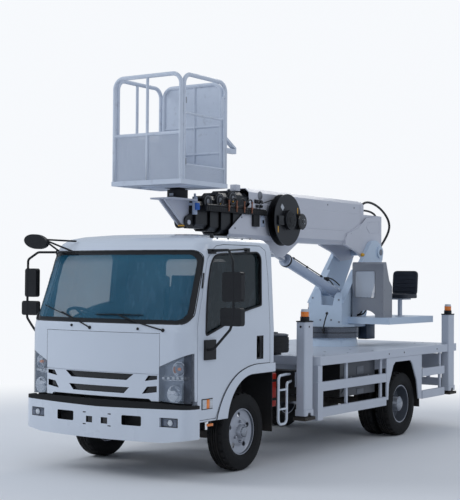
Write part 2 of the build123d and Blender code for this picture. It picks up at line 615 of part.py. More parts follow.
# Rear leg frame: cross box and two upright tubes
COLLAR_Z = 446
def leg_tube(x, side):
    """Hollow upright with its cap, lamp base and the notched foot collar."""
    cx, cy = ax(x), side * LEG_Y
    hollow = (LEG_SIZE[0] - 16, LEG_SIZE[1] - 16)
    with BuildSketch(Plane.XY.offset(COLLAR_Z)) as outer:
        with Locations((cx, cy)):
            RectangleRounded(*LEG_SIZE, 18)
            Rectangle(*hollow, mode=Mode.SUBTRACT)
    extrude(outer.sketch, amount=LEG_Z[1] - COLLAR_Z)
    with BuildSketch(Plane.XY.offset(COLLAR_Z)) as collar:
        with Locations((cx, cy)):
            RectangleRounded(LEG_SIZE[0] + 18, LEG_SIZE[1] + 18, 22)
            Rectangle(*hollow, mode=Mode.SUBTRACT)
    extrude(collar.sketch, amount=LEG_Z[0] - COLLAR_Z)
    notch = [(-38, -1), (38, -1), (22, 32), (-22, 32)]
    side_form([(x + u, COLLAR_Z + v) for u, v in notch], span(side, LEG_Y - 80, LEG_Y + 80), Mode.SUBTRACT)
    with BuildSketch(Plane.XY.offset(LEG_Z[1] - 1)) as cap:
        with Locations((cx, cy)):
            RectangleRounded(LEG_SIZE[0] + 10, LEG_SIZE[1] + 10, 20)
    extrude(cap.sketch, amount=12)
    turned(x, side * LEG_Y, LEG_Z[1] + 10, [(0, 0), (48, 0), (48, 40), (43, 45), (43, 95), (36, 122), (0, 122)],
           "Z")


with BuildPart() as rear_legs:
    rear_box = (LEG_X[1] - 80, LEG_X[1] + 80)
    block(rear_box, (-LEG_Y + 50, LEG_Y - 50), (RAIL_Z[1], LEG_BOX_Z[1]))
    for _, side in SIDES:
        leg_tube(LEG_X[1], side)
write(rear_legs, "rear_legs")

for word, side in SIDES:
    with BuildPart() as front_leg:
        leg_tube(LEG_X[0], side)
        reach = sorted((side * 30, side * (LEG_Y - 50)))
        block((LEG_X[0] - 70, LEG_X[0] + 70), reach, (LEG_BOX_Z[0] + 16, LEG_BOX_Z[1] - 16))
    write(front_leg, f"front_leg_{word}")

# Jacks: inner leg and foot pad
FOOT = (216, 146, 32)
for row, x in (("front", LEG_X[0]), ("rear", LEG_X[1])):
    for word, side in SIDES:
        with BuildPart() as jack:
            with Locations((ax(x), side * LEG_Y, (PAD_Z + FOOT[2] + 1350) / 2)):
                Box(LEG_SIZE[0] - 28, LEG_SIZE[1] - 28, 1350 - PAD_Z - FOOT[2])
            with Locations((ax(x), side * LEG_Y, PAD_Z + FOOT[2] / 2 + 0.5)):
                Box(FOOT[0], FOOT[1], FOOT[2] + 1)
            with Locations((ax(x), side * LEG_Y, PAD_Z + 8)):
                Box(FOOT[0] - 30, FOOT[1] - 30, 16)
        write(jack, f"jack_{row}_{word}")

# Side guards: rails, thin posts and the broad front post, on both sides
GUARD_Y = (1003, 1043)
GUARD_RAILS = ((672, 770), (402, 500))
with BuildPart() as side_guards:
    for _, side in SIDES:
        for z0, z1 in GUARD_RAILS:
            block((-2838, -1245), span(side, *GUARD_Y), (z0, z1))
            block((-4476, -3819), span(side, *GUARD_Y), (z0, z1))
        block((-1350, -1240), span(side, 935, GUARD_Y[1]), (372, 770))
        block((-1345, -1255), span(side, 943, 1035), (769, DECK_TOP - SKIRT))
        for place in POST_X:
            block((place - 22, place + 22), span(side, 985, GUARD_Y[0] + 5), (402, DECK_TOP - SKIRT))
write(side_guards, "side_guards")

# Panels round the rear wheels
ARCH_PANEL = [(-3800, 411), (-3800, 941), (-2845, 941), (-2845, 463), (-2890, 463), (-2905, 640), (-3020, 850),
              (-3075, 889), (-3480, 889), (-3530, 850), (-3657, 643), (-3710, 411)]
with BuildPart() as arch_panels:
    for _, side in SIDES:
        side_form(ARCH_PANEL, span(side, 1025, 1041))
write(arch_panels, "arch_panels")

# Tool lockers behind the guards
with BuildPart() as lockers:
    block((-2740, -1900), (580, 940), (560, DECK_TOP - SKIRT))
    block((-2740, -2120), (-960, -800), (560, DECK_TOP - SKIRT))
write(lockers, "lockers")

# Access ladder behind the cab: one bent tube and two rungs
LADDER_Y = 990
with BuildPart() as ladder:
    tube([(-932, 880, 870), (-760, 935, 880), (-530, LADDER_Y, 880), (-530, LADDER_Y, 395),
          (-690, LADDER_Y, 395), (-690, LADDER_Y, 800), (-932, 895, 800)], 14, 55)
    for z in (738, 545):
        rod((-530, LADDER_Y, z), (-690, LADDER_Y, z), 11)
write(ladder, "ladder")

# Mudguards: black inner arches and flaps
LINER_T = 6
with BuildPart() as mudguards:
    for _, side in SIDES:
        r0, r1 = ARCH_R - 1 - LINER_T, ARCH_R - 1
        cx, cz = ARCH_CENTRE
        liner = [(cx + r1 * 0.77, cz + r1 * 0.638), (cx + r1 * 0.4226, cz + r1 * 0.9063, cx, cz + r1),
                 (-498, cz + r1), (-498, cz + r0), (cx, cz + r0),
                 (cx + r0 * 0.4226, cz + r0 * 0.9063, cx + r0 * 0.77, cz + r0 * 0.638)]
        side_form(liner, span(side, 480, 940))
        block((-498, -486), span(side, 580, 940), (330, cz + r0 + 2))
        block((-3872, -3858), span(side, 540, 975), (300, DECK_TOP - 80))
write(mudguards, "mudguards")

# Rear under-run bar with its lamps
REAR_FACE = -(LENGTH - FRONT_OVERHANG)
with BuildPart() as rear_bar:
    block((REAR_FACE, REAR_FACE + 50), (-970, 970), (480, 580))
    for _, side in SIDES:
        block((REAR_FACE, REAR_FACE + 50), span(side, 640, 950), (640, 760))
        low, high = sorted((side * 300, side * 345))
        block((REAR_FACE + 49, REAR_END), (low, high), (500, 700))
        low, high = sorted((side * 620, side * 660))
        block((REAR_FACE + 5, REAR_FACE + 45), (low, high), (575, 645))
write(rear_bar, "rear_bar")

# The boom gear is written from its own line
datum = FRONT_AXLE_X - GEAR_SET_BACK

# Pedestal and fixed half of the slewing ring
RING_Z = (1140, 1205, 1270)
with BuildPart() as pedestal:
    turned(SLEW_X, 0, 0, [(0, DECK_TOP), (350, DECK_TOP), (330, RING_Z[0]),
                          (RING_R, RING_Z[0]), (RING_R, RING_Z[1]), (0, RING_Z[1])], "Z")
write(pedestal, "pedestal")

# Turret: base plate, notched front plate, inclined arms up to the boom pivot and the station platform
CHEEK_Y = (197, 237)
PLATFORM_Z = (1308, 1390)
FRONT_PLATE = [(-237, 1280), (-226, 1330), (-190, 1637), (-137, 1724), (-85, 1742), (-58, 1700), (-47, 1534),
               (110, 1530), (138, 1650), (170, 1690), (237, 1690), (237, 1280)]
ARM = [(-3200, RING_Z[2]), (-3200, 1560), (-3323, 1696), (-3930, 2313), (-4190, 2318, -4300, 2200),
       (-4285, 2110), (-3900, 1560), (-3780, RING_Z[2])]
ARM_FACE = [(-3190, 1560), (-3206, 1580), (-3327, 1705), (-3934, 2322), (-3944, 2312), (-3337, 1695),
            (-3215, 1570), (-3200, 1555)]
with BuildPart() as turret:
    turned(SLEW_X, 0, 0, [(0, RING_Z[1] + 3), (RING_R, RING_Z[1] + 3), (RING_R, RING_Z[2]),
                          (0, RING_Z[2])], "Z")
    plan_form([(-3185, -262), (-3185, 262), (-3340, 330), (-3800, 300), (-3900, 240), (-3900, -240),
               (-3800, -300), (-3340, -330)], (RING_Z[2] - 1, RING_Z[2] + 30))
    for _, side in SIDES:
        side_form(ARM, span(side, *CHEEK_Y))
        side_form(ARM_FACE, span(side, CHEEK_Y[0], 252))
        side_form([(-3190, 1560), (-3206, 1580), (-3327, 1705), (-3590, 1972), (-3600, 1962), (-3337, 1695),
                   (-3215, 1570), (-3200, 1555)], span(side, 150, CHEEK_Y[0] + 1))
        rod((BOOM_PIVOT[0], side * 228, BOOM_PIVOT[1]), (BOOM_PIVOT[0], side * 258, BOOM_PIVOT[1]), 74)
    end_form(FRONT_PLATE, (-3206, -3186), corner=8)
    rod((LIFT_FOOT[0], -236, LIFT_FOOT[1]), (LIFT_FOOT[0], 236, LIFT_FOOT[1]), 28)
    rod((BOOM_PIVOT[0], -262, BOOM_PIVOT[1]), (BOOM_PIVOT[0], 262, BOOM_PIVOT[1]), 40)
    block((-4610, -3345), (200, 800), PLATFORM_Z)
    block((-4596, -3359), (236, 786), (PLATFORM_Z[0] - 2, PLATFORM_Z[1] - 8), Mode.SUBTRACT)
    for place in (-3700, -4100):
        block((place - 20, place + 20), (210, 790), (PLATFORM_Z[0] + 10, PLATFORM_Z[1] - 6))
write(turret, "turret")

# Operator's station: a bent sheet hood with a window, open towards the seat
HOOD_T = 6
with BuildPart() as console:
    side_form([(-3400, 1390), (-3400, 2040), (-3415, 2062), (-3475, 2064), (-3560, 1840), (-3640, 1765),
               (-3640, 1390)], (268, 692))
    side_form([(-3400 - HOOD_T, 1380), (-3400 - HOOD_T, 2037), (-3418, 2056), (-3470, 2058), (-3700, 2058),
               (-3700, 1380)], (268 + HOOD_T, 692 - HOOD_T), Mode.SUBTRACT)
    end_form([(306, 1630), (575, 1630), (575, 1950), (306, 1950)], (-3420, -3390), Mode.SUBTRACT, corner=24)
    end_form([(330, 1380), (330, 1420), (455, 1475, 580, 1420), (580, 1380)], (-3420, -3390), Mode.SUBTRACT)
    block((-3560, -3403), (272, 688), (1500, 1508))
    block((-3540, -3440), (300, 560), (1506, 1600))
write(console, "console")

with BuildPart() as operator_seat:
    rod((-4050, 600, 1390), (-4050, 600, 1612), 28)
    side_form([(-4230, 1612), (-4230, 1672), (-3880, 1682), (-3860, 1640), (-3870, 1612)], (430, 775), corner=10)
    side_form([(-4150, 1650), (-4190, 1650), (-4230, 1966), (-4180, 1966)], (436, 782), corner=8)
write(operator_seat, "operator_seat")

# Boom base: welded box with a narrower top, hollow for the sections, gusset plates and lift lug
PIVOT_GAP = 0.5
BASE_PROFILE = [(-125, 2280), (125, 2280), (172, 2328), (172, 2675), (160, 2679), (160, 2796), (116, 2840),
                (-116, 2840), (-160, 2796), (-160, 2679), (-172, 2675), (-172, 2328)]
BASE_HOLLOW = [(-121, 2288), (121, 2288), (164, 2332), (164, 2669), (152, 2671), (152, 2792), (112, 2832),
               (-112, 2832), (-152, 2792), (-152, 2671), (-164, 2669), (-164, 2332)]
GUSSET = [(-3355, 2273), (-3354, 2347), (-3418, 2410), (-3749, 2541), (-4106, 2616), (-4290, 2600),
          (-4290, 2200), (-4230, 2130), (-4138, 2108), (-3875, 2084), (-3671, 2194)]


def bevelled(top, bottom, half, bevel, x, mode=Mode.ADD):
    """Box with bevelled edges between two X places."""
    end_form([(-half + bevel, bottom), (half - bevel, bottom), (half, bottom + bevel),
              (half, top - bevel), (half - bevel, top), (-half + bevel, top),
              (-half, top - bevel), (-half, bottom + bevel)], x, mode)


with BuildPart() as boom_base:
    end_form(BASE_PROFILE, (-3810, -799))
    side_form([(-1190, 2900), (-1210, 2662), (-1029, 2527), (-799, 2367), (-780, 2250), (-700, 2250),
               (-700, 2900)], (-300, 300), Mode.SUBTRACT)
    for _, side in SIDES:
        side_form(GUSSET, span(side, 161, 190))
        side_form([(-1560, 2287), (-2400, 2287), (-2060, 2104), (-1920, 2095)], span(side, 66, 90))
    end_form(BASE_HOLLOW, (-3802, -700), Mode.SUBTRACT)
    for _, side in SIDES:
        rod((BOOM_PIVOT[0], side * 150, BOOM_PIVOT[1]), (BOOM_PIVOT[0], side * 192, BOOM_PIVOT[1]),
            40 + PIVOT_GAP, Mode.SUBTRACT)
write(boom_base, "boom_base")

# Hose reel on the boom's left side
REEL = (-1785, 2513)
with BuildPart() as hose_reel:
    turned(REEL[0], 0, REEL[1], [(0, 172), (60, 172), (60, 215), (290, 215), (290, 223), (90, 223),
                                 (90, 300), (290, 300), (290, 308), (110, 308), (110, 352), (0, 352)])
write(hose_reel, "hose_reel")

# Inner sections: (name, top, bottom, half width, front end, head's top, head's rear)
INNER_SECTIONS = (("boom_section_2", 2775, 2308, 142, -899, 2794, -1075),
                  ("boom_section_3", 2740, 2330, 122, -700, 2760, -875),
                  ("boom_section_4", 2700, 2352, 102, -524, 2718, -680),
                  ("boom_section_5", 2640, 2374, 82, -289, 2653, -500))
SECTION_REAR = -3560
SECTION_WALL = 8
# Guide pulleys on the left of each head: (section, x, z, inner face, outer face)
PULLEYS = {"boom_section_2": (-878, 2708, 142, 164), "boom_section_3": (-672, 2675, 122, 142),
           "boom_section_4": (-473, 2653, 102, 122)}
PULLEY_R = 74
for name, top, bottom, half, front, head_top, head_rear in INNER_SECTIONS:
    with BuildPart() as section:
        bevelled(top, bottom, half, 40, (SECTION_REAR, front))
        bevelled(head_top, bottom - 6, half + 14, 44, (head_rear, front))
        if name in PULLEYS:
            x, z, y0, y1 = PULLEYS[name]
            turned(x, 0, z, [(0, y0), (PULLEY_R, y0), (PULLEY_R - 14, y0 + 8), (PULLEY_R - 14, y1 - 8),
                             (PULLEY_R, y1), (0, y1)])
        bevelled(top - SECTION_WALL, bottom + SECTION_WALL, half - SECTION_WALL, 37,
                 (SECTION_REAR - 10, front + 60), Mode.SUBTRACT)
        if name == "boom_section_5":
            bevelled(top - 4, bottom + 4, half - 4, 37, (front - 30, front - 5))
            for _, side in SIDES:
                side_form([(front - 20, 2378), (front - 20, 2570), (-200, 2500), (-140, 2425, -200, 2366)],
                          span(side, 50, 70))
                rod((LEVEL_PIVOT[0], side * 45, LEVEL_PIVOT[1]), (LEVEL_PIVOT[0], side * 75, LEVEL_PIVOT[1]),
                    25 + PIVOT_GAP, Mode.SUBTRACT)
    write(section, name)

# Lift cylinder: barrel from the turret, rod up to the lug
LIFT_DX, LIFT_DZ = LIFT_LUG[0] - LIFT_FOOT[0], LIFT_LUG[1] - LIFT_FOOT[1]
LIFT_LEN = (LIFT_DX ** 2 + LIFT_DZ ** 2) ** 0.5


def along_lift(distance, y=0):
    """Point on the lift cylinder's axis at a distance from its foot."""
    share = distance / LIFT_LEN
    return (LIFT_FOOT[0] + LIFT_DX * share, y, LIFT_FOOT[1] + LIFT_DZ * share)


BARREL_R = 62
ROD_R = 38
BARREL_END = LIFT_LEN - 250
with BuildPart() as lift_barrel:
    rod(along_lift(40), along_lift(BARREL_END), BARREL_R)
    rod(along_lift(BARREL_END - 90), along_lift(BARREL_END), BARREL_R + 12)
    rod(along_lift(40), along_lift(130), BARREL_R + 8)
    rod((LIFT_FOOT[0], -45, LIFT_FOOT[1]), (LIFT_FOOT[0], 45, LIFT_FOOT[1]), 56)
    rod(along_lift(75), along_lift(LIFT_LEN), ROD_R + 0.05, Mode.SUBTRACT)
    rod((LIFT_FOOT[0], -50, LIFT_FOOT[1]), (LIFT_FOOT[0], 50, LIFT_FOOT[1]), 28 + PIVOT_GAP, Mode.SUBTRACT)
write(lift_barrel, "lift_barrel")

with BuildPart() as lift_rod:
    rod(along_lift(110), along_lift(LIFT_LEN - 30), ROD_R)
    rod(along_lift(LIFT_LEN, -62), along_lift(LIFT_LEN, 62), 50)
write(lift_rod, "lift_rod")

# Basket carrier: levelled bracket of a top plate and two ribs, with the swing motor
with BuildPart() as basket_mount:
    rod((LEVEL_PIVOT[0], -78, LEVEL_PIVOT[1]), (LEVEL_PIVOT[0], 78, LEVEL_PIVOT[1]), 25)
    for _, side in SIDES:
        side_form([(-250, 2650), (-240, 2560), (-240, 2395), (-160, 2395), (-70, 2455), (160, 2630), (175, 2650)],
                  span(side, 24, 42))
    block((-262, 175), (-140, 140), (2645, 2662))
    rod((SWING_X, 0, 2661), (SWING_X, 0, 2752), 106)
write(basket_mount, "basket_mount")

# Basket: bent tube frames, floor frame, solid rear wall, half sheets in front and on the right
TUBE_R = 21
MID_RAIL_Z = 3270
RIB_Z = (3135, 3415)
DROP_BAR_Z = 3465
KICK_Z = 2965
FLOOR_Z = 2815
SHEET_T = 3
x0, x1 = BASKET_X[0] + TUBE_R, BASKET_X[1] - TUBE_R
y0, y1 = BASKET_Y[0] + TUBE_R, BASKET_Y[1] - TUBE_R
z0, z1 = BASKET_Z[0] + 12, BASKET_Z[1] - TUBE_R
STEP_IN = 2 * TUBE_R + 3
BEND = 105
with BuildPart() as basket:
    block(BASKET_X, BASKET_Y, (BASKET_Z[0], FLOOR_Z))
    block((BASKET_X[0] + 40, BASKET_X[1] - 40), (BASKET_Y[0] + 40, BASKET_Y[1] - 40), (BASKET_Z[0] - 5, FLOOR_Z - 6),
          Mode.SUBTRACT)
    for place in (-250, SWING_X - 80, SWING_X + 80, 250):
        block((place - 20, place + 20), (BASKET_Y[0] + 20, BASKET_Y[1] - 20), (BASKET_Z[0], FLOOR_Z - 5))
    block((SWING_X - 95, SWING_X + 95), (-95, 95), (BASKET_Z[0] - 2, BASKET_Z[0] + 12))
    rod((SWING_X, 0, 2758), (SWING_X, 0, BASKET_Z[0] + 1), 80)
    tube([(x1, y0, z0), (x1, y0, z1), (x1, y1, z1), (x1, y1, z0)], TUBE_R, BEND)
    for y in (y0, y1):
        tube([(x1 - STEP_IN, y, z0), (x1 - STEP_IN, y, z1), (x0, y, z1), (x0, y, z0)], TUBE_R, BEND)
    tube([(x0, y0 + STEP_IN, z0), (x0, y0 + STEP_IN, z1), (x0, y1 - STEP_IN, z1), (x0, y1 - STEP_IN, z0)],
         TUBE_R, BEND)
    for z in (FLOOR_Z + 60, MID_RAIL_Z, z1 - 200):
        for y, reach in ((y0, 1), (y1, -1)):
            rod((x1, y, z), (x1 - STEP_IN, y, z), 12)
            rod((x0, y, z), (x0, y + reach * STEP_IN, z), 12)
    rod((x1, y0, MID_RAIL_Z), (x1, y1, MID_RAIL_Z), 17)
    rod((x0, y0, MID_RAIL_Z), (x1 - STEP_IN, y0, MID_RAIL_Z), 17)
    rod((x1, 0, FLOOR_Z - 5), (x1, 0, z1), 15)
    rod((55, y0, MID_RAIL_Z), (55, y0, z1), 15)
    rod((x0, 30, FLOOR_Z - 5), (x0, 30, z1), 15)
    for z in RIB_Z:
        rod((x0, y0 + STEP_IN, z), (x0, y1 - STEP_IN, z), 13)
    corner = BEND * 0.293
    wall_y0, wall_y1 = y0 + STEP_IN, y1 - STEP_IN
    end_form([(wall_y0, FLOOR_Z - 5), (wall_y1, FLOOR_Z - 5), (wall_y1, z1 - BEND),
              (wall_y1 - corner, z1 - corner, wall_y1 - BEND, z1), (wall_y0 + BEND, z1),
              (wall_y0 + corner, z1 - corner, wall_y0, z1 - BEND)], (x0 - SHEET_T / 2, x0 + SHEET_T / 2))
    block((x1 - SHEET_T / 2, x1 + SHEET_T / 2), (y0, y1), (FLOOR_Z - 5, MID_RAIL_Z))
    block((x0, x1 - STEP_IN), (y0 - SHEET_T / 2, y0 + SHEET_T / 2), (FLOOR_Z - 5, MID_RAIL_Z))
    block((x0, x1 - STEP_IN), (y1 - SHEET_T / 2, y1 + SHEET_T / 2), (FLOOR_Z - 5, KICK_Z))
    rod((x0, y1, KICK_Z), (x1 - STEP_IN, y1, KICK_Z), 9)
    tube([(x1 - STEP_IN, y1, DROP_BAR_Z), (-300, y1, DROP_BAR_Z), (-300, y1, 3700), (x0, y1, 3700)], 11, 24)
    side_form([(x0, 3372), (x0, 3340), (-640, 3190), (-640, 3215)], (y1 - 100, y1 - 50))
    side_form([(x0, 3200), (x0, 3150), (-640, 3150), (-640, 3200)], (y1 - 100, y1 - 50))
write(basket, "basket")
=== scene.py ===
"""Looks of the cherry picker truck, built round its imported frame.

Lengths in the tables are millimetres: x from the front axle, or for the boom gear
from its own line behind the axle, y to the truck's left, z up.
"""

import json
from math import atan2, cos, pi, radians, sin

import bmesh
import bpy
from bpy.props import FloatProperty, FloatVectorProperty, IntProperty, PointerProperty
from mathutils import Matrix, Vector
from mathutils.bvhtree import BVHTree

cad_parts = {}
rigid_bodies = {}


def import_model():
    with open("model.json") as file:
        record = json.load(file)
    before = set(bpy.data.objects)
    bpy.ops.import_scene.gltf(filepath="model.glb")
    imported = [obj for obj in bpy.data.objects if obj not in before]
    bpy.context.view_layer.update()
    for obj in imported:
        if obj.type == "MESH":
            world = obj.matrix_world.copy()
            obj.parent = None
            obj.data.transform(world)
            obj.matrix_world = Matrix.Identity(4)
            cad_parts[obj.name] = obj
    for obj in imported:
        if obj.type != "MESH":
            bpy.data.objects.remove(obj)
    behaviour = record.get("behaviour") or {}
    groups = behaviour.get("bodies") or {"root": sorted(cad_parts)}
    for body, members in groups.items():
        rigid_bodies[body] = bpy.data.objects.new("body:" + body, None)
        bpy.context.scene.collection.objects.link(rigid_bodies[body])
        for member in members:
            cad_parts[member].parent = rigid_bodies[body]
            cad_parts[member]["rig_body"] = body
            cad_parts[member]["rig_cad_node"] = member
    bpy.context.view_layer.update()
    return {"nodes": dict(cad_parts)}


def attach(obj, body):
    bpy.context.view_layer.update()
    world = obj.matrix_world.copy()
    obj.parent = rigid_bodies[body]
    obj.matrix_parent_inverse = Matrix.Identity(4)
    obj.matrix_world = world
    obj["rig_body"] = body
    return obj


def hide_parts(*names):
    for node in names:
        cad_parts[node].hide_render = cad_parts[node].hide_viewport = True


bl_info = {
    "name": "Cherry Picker Truck",
    "version": (1, 0),
    "blender": (4, 5, 0),
    "location": "View3D > Sidebar > Truck",
    "description": "Dresses the packed truck, its boom and its basket with detail and finishes",
    "category": "Object",
}

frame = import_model()

MM = 0.001
FRONT_AXLE = 1.8975
GEAR_LINE = 1.8455
REAR_AXLE = -3360
AXLE_HEIGHT = 375
SIDES = (("left", 1), ("right", -1))
# Starts of lines that look for a surface from outside, beside or ahead of the truck and above it
BEYOND, OVERHEAD = 2000, 3000
AHEAD = Vector((1, 0, 0))
LEFT = Vector((0, 1, 0))
UP = Vector((0, 0, 1))


def at(x, y, z):
    """Model place of a point measured from the front axle."""
    return Vector((FRONT_AXLE + x * MM, y * MM, z * MM))


def gear(x, y, z):
    """Model place of a point measured from the boom gear's line."""
    return Vector((GEAR_LINE + x * MM, y * MM, z * MM))


# Finishes

class Value:
    """A number socket that adds Math nodes when it is used in an expression."""

    def __init__(self, finish, socket):
        self.finish = finish
        self.socket = socket

    def maths(self, operation, *numbers):
        """A Math node on the numbers or values."""
        return self.finish.node("ShaderNodeMath", {"operation": operation}, dict(enumerate(numbers)))

    def __add__(self, other):
        return self.maths("ADD", self, other)

    def __radd__(self, other):
        return self.maths("ADD", other, self)

    def __sub__(self, other):
        return self.maths("SUBTRACT", self, other)

    def __rsub__(self, other):
        return self.maths("SUBTRACT", other, self)

    def __mul__(self, other):
        return self.maths("MULTIPLY", self, other)

    def __rmul__(self, other):
        return self.maths("MULTIPLY", other, self)

    def __truediv__(self, other):
        return self.maths("DIVIDE", self, other)

    def __pow__(self, other):
        return self.maths("POWER", self, other)

    def size(self):
        """The number without its sign."""
        return self.maths("ABSOLUTE", self)

    def over(self, other):
        """1 where the number is over the other, else 0."""
        return self.maths("GREATER_THAN", self, other)

    def most(self, other):
        """The greater of the two."""
        return self.maths("MAXIMUM", self, other)

    def least(self, other):
        """The smaller of the two."""
        return self.maths("MINIMUM", self, other)

    def fraction(self):
        """What stands behind the number's point."""
        return self.maths("FRACT", self)

    def held(self):
        """The number kept between 0 and 1."""
        return self.least(1.0).most(0.0)


class Finish:
    """A material being built: one Principled shader and the nodes that feed it."""

    def __init__(self, name, **constants):
        self.material = bpy.data.materials.new(name)
        self.material.use_nodes = True
        self.tree = self.material.node_tree
        self.shader = self.tree.nodes["Principled BSDF"]
        for socket, number in constants.items():
            self.feed(self.shader.inputs[socket.replace("_", " ")], number)

    def feed(self, socket, value):
        """Link a value to a socket, or set the socket to a constant."""
        if isinstance(value, Value):
            self.tree.links.new(value.socket, socket)
        else:
            socket.default_value = value

    def node(self, kind, settings=None, sockets=None, output=0):
        """A node of that type, its settings made first, and the value of one of its outputs."""
        node = self.tree.nodes.new(kind)
        for setting, value in (settings or {}).items():
            setattr(node, setting, value)
        for socket, value in (sockets or {}).items():
            self.feed(node.inputs[socket], value)
        return Value(self, node.outputs[output])

    def place(self):
        """Place on the piece."""
        return self.node("ShaderNodeTexCoord", output="Object")

    def parts(self, vector):
        """The x, y and z of a vector."""
        node = self.tree.nodes.new("ShaderNodeSeparateXYZ")
        self.feed(node.inputs[0], vector)
        return [Value(self, node.outputs[n]) for n in range(3)]

    def noise(self, scale, detail=3.0, vector=None):
        """Even cloudiness between 0 and 1."""
        return self.node("ShaderNodeTexNoise", None,
                         {"Vector": vector or self.place(), "Scale": scale, "Detail": detail})

    def mix(self, factor, first, second):
        """Colour between two, by a factor."""
        return self.node("ShaderNodeMix", {"data_type": "RGBA"}, {0: factor, 6: first, 7: second}, 2)

    def stretched(self, scale):
        """Place on the piece, scaled along each direction."""
        return self.node("ShaderNodeMapping", None, {"Vector": self.place(), "Scale": scale})

    def bump(self, height, strength, distance=0.002):
        """Fine relief of the surface."""
        self.put("Normal", self.node("ShaderNodeBump", None,
                                     {"Strength": strength, "Distance": distance, "Height": height}))

    def put(self, socket, value):
        """Feed one of the shader's own sockets."""
        self.feed(self.shader.inputs[socket], value)


def linear(red, green, blue):
    """Scene colour of an 0 to 255 screen colour."""
    return tuple(((c / 255) / 12.92 if c <= 10 else ((c / 255 + 0.055) / 1.055) ** 2.4)
                 for c in (red, green, blue)) + (1.0,)


def dimmed(colour, share):
    """The colour times a share, as solid as before."""
    return tuple(c * share for c in colour[:3]) + (1.0,)


ROAD_DUST = linear(122, 112, 100)
DUST_TOP = 1.0


def road_dust(finish, amount):
    """Mask of dust that grows towards the road."""
    height = finish.parts(finish.place())[2]
    low = (1.0 - height / DUST_TOP).held()
    return (low * low * (finish.noise(3.5, 5.0) * 1.6) * amount).held()


def painted(name, colour, rough=0.3, coat=0.35, dust=0.25, grain=0.03):
    """Sprayed enamel: slightly uneven colour and gloss, orange peel and road dust low down."""
    finish = Finish(name, Coat_Roughness=0.08, Specular_IOR_Level=0.45)
    cloud = finish.noise(1.6, 4.0)
    speck = finish.noise(38.0, 2.0)
    dirt = road_dust(finish, dust)
    enamel = finish.mix(cloud, colour, dimmed(colour, 0.93))
    finish.put("Base Color", finish.mix(dirt, enamel, ROAD_DUST))
    finish.put("Roughness", (rough + (cloud - 0.5) * 0.12 + (speck - 0.5) * 0.06 + dirt * 0.4).held())
    finish.put("Coat Weight", (coat - dirt * coat).held())
    finish.bump(finish.noise(420.0, 1.0), grain)
    return finish.material


def moulded(name, colour, rough=0.55, dust=0.3, grain=0.2):
    """Moulded plastic with a fine stipple that greys a little."""
    finish = Finish(name, Specular_IOR_Level=0.4)
    cloud = finish.noise(4.0, 4.0)
    dirt = road_dust(finish, dust)
    faded = tuple(c * 1.5 + 0.012 for c in colour[:3]) + (1.0,)
    finish.put("Base Color", finish.mix(dirt, finish.mix(cloud, colour, faded), ROAD_DUST))
    finish.put("Roughness", (rough + (cloud - 0.5) * 0.2 + dirt * 0.3).held())
    finish.bump(finish.noise(900.0, 2.0), grain, 0.0006)
    return finish.material


def cast(name, colour, rough=0.75):
    """Rough black frame metal with rust-brown patches and road dust."""
    finish = Finish(name, Specular_IOR_Level=0.35)
    cloud = finish.noise(9.0, 6.0)
    dirt = road_dust(finish, 0.55)
    worn = finish.mix(((cloud - 0.62) * 6.0).held(), colour, linear(70, 52, 42))
    finish.put("Base Color", finish.mix(dirt, worn, ROAD_DUST))
    finish.put("Roughness", (rough + (cloud - 0.5) * 0.3).held())
    finish.bump(finish.noise(160.0, 4.0), 0.35)
    return finish.material


def brushed(name, colour, rough, lay=(1.0, 1.0, 60.0), metal=0.95):
    """Brushed or turned metal, its fine lines across the given direction."""
    finish = Finish(name, Metallic=metal, Anisotropic=0.4)
    lines = finish.noise(14.0, 4.0, finish.stretched(lay))
    cloud = finish.noise(2.5, 3.0)
    finish.put("Base Color", finish.mix(lines * 0.6 + cloud * 0.4, dimmed(colour, 0.8), colour))
    finish.put("Roughness", (rough + (lines - 0.5) * 0.22 + (cloud - 0.5) * 0.1).held())
    finish.bump(lines, 0.08, 0.0008)
    return finish.material


def rubber(name, wall):
    """Tyre rubber: black, browned by dust on the tread and in the bead."""
    finish = Finish(name, Specular_IOR_Level=0.3)
    cloud = finish.noise(7.0, 5.0)
    fine = finish.noise(55.0, 3.0)
    dust = ((cloud - 0.35) * 0.5 + (fine - 0.5) * 0.2).held() * wall
    finish.put("Base Color", finish.mix(dust, linear(12, 13, 16), linear(72, 66, 60)))
    finish.put("Roughness", (0.72 + (cloud - 0.5) * 0.25).held())
    finish.bump(finish.noise(240.0, 3.0), 0.25, 0.001)
    return finish.material


def glazed(name, tint, body, rough=0.03):
    """Glass as a thin tinted sheet; body is how much of what lies behind it is held back."""
    finish = Finish(name, IOR=1.5, Specular_IOR_Level=0.7, Roughness=rough)
    film = finish.noise(2.2, 4.0)
    finish.put("Base Color", finish.mix(film, tint, dimmed(tint, 0.72)))
    finish.put("Alpha", (body + (film - 0.5) * 0.12).held())
    return finish.material


def plain_lens(name, colour, glow=0.0, rough=0.08):
    """Coloured lamp plastic with a ribbed inside."""
    finish = Finish(name, Coat_Roughness=0.05, Emission_Strength=glow)
    ribs = finish.noise(90.0, 1.0, finish.stretched((0.2, 0.2, 1.0)))
    ribbed = finish.mix(ribs, dimmed(colour, 0.55), colour)
    finish.put("Base Color", ribbed)
    finish.put("Emission Color", ribbed)
    finish.put("Coat Weight", 0.8)
    finish.put("Roughness", (rough + (ribs - 0.5) * 0.05).held())
    return finish.material


def chromed(name, colour, rough):
    """Bright plated metal, a little uneven."""
    finish = Finish(name, Metallic=1.0)
    cloud = finish.noise(18.0, 3.0)
    finish.put("Base Color", finish.mix(cloud, colour, dimmed(colour, 0.85)))
    finish.put("Roughness", (rough + (cloud - 0.5) * 0.08).held())
    return finish.material


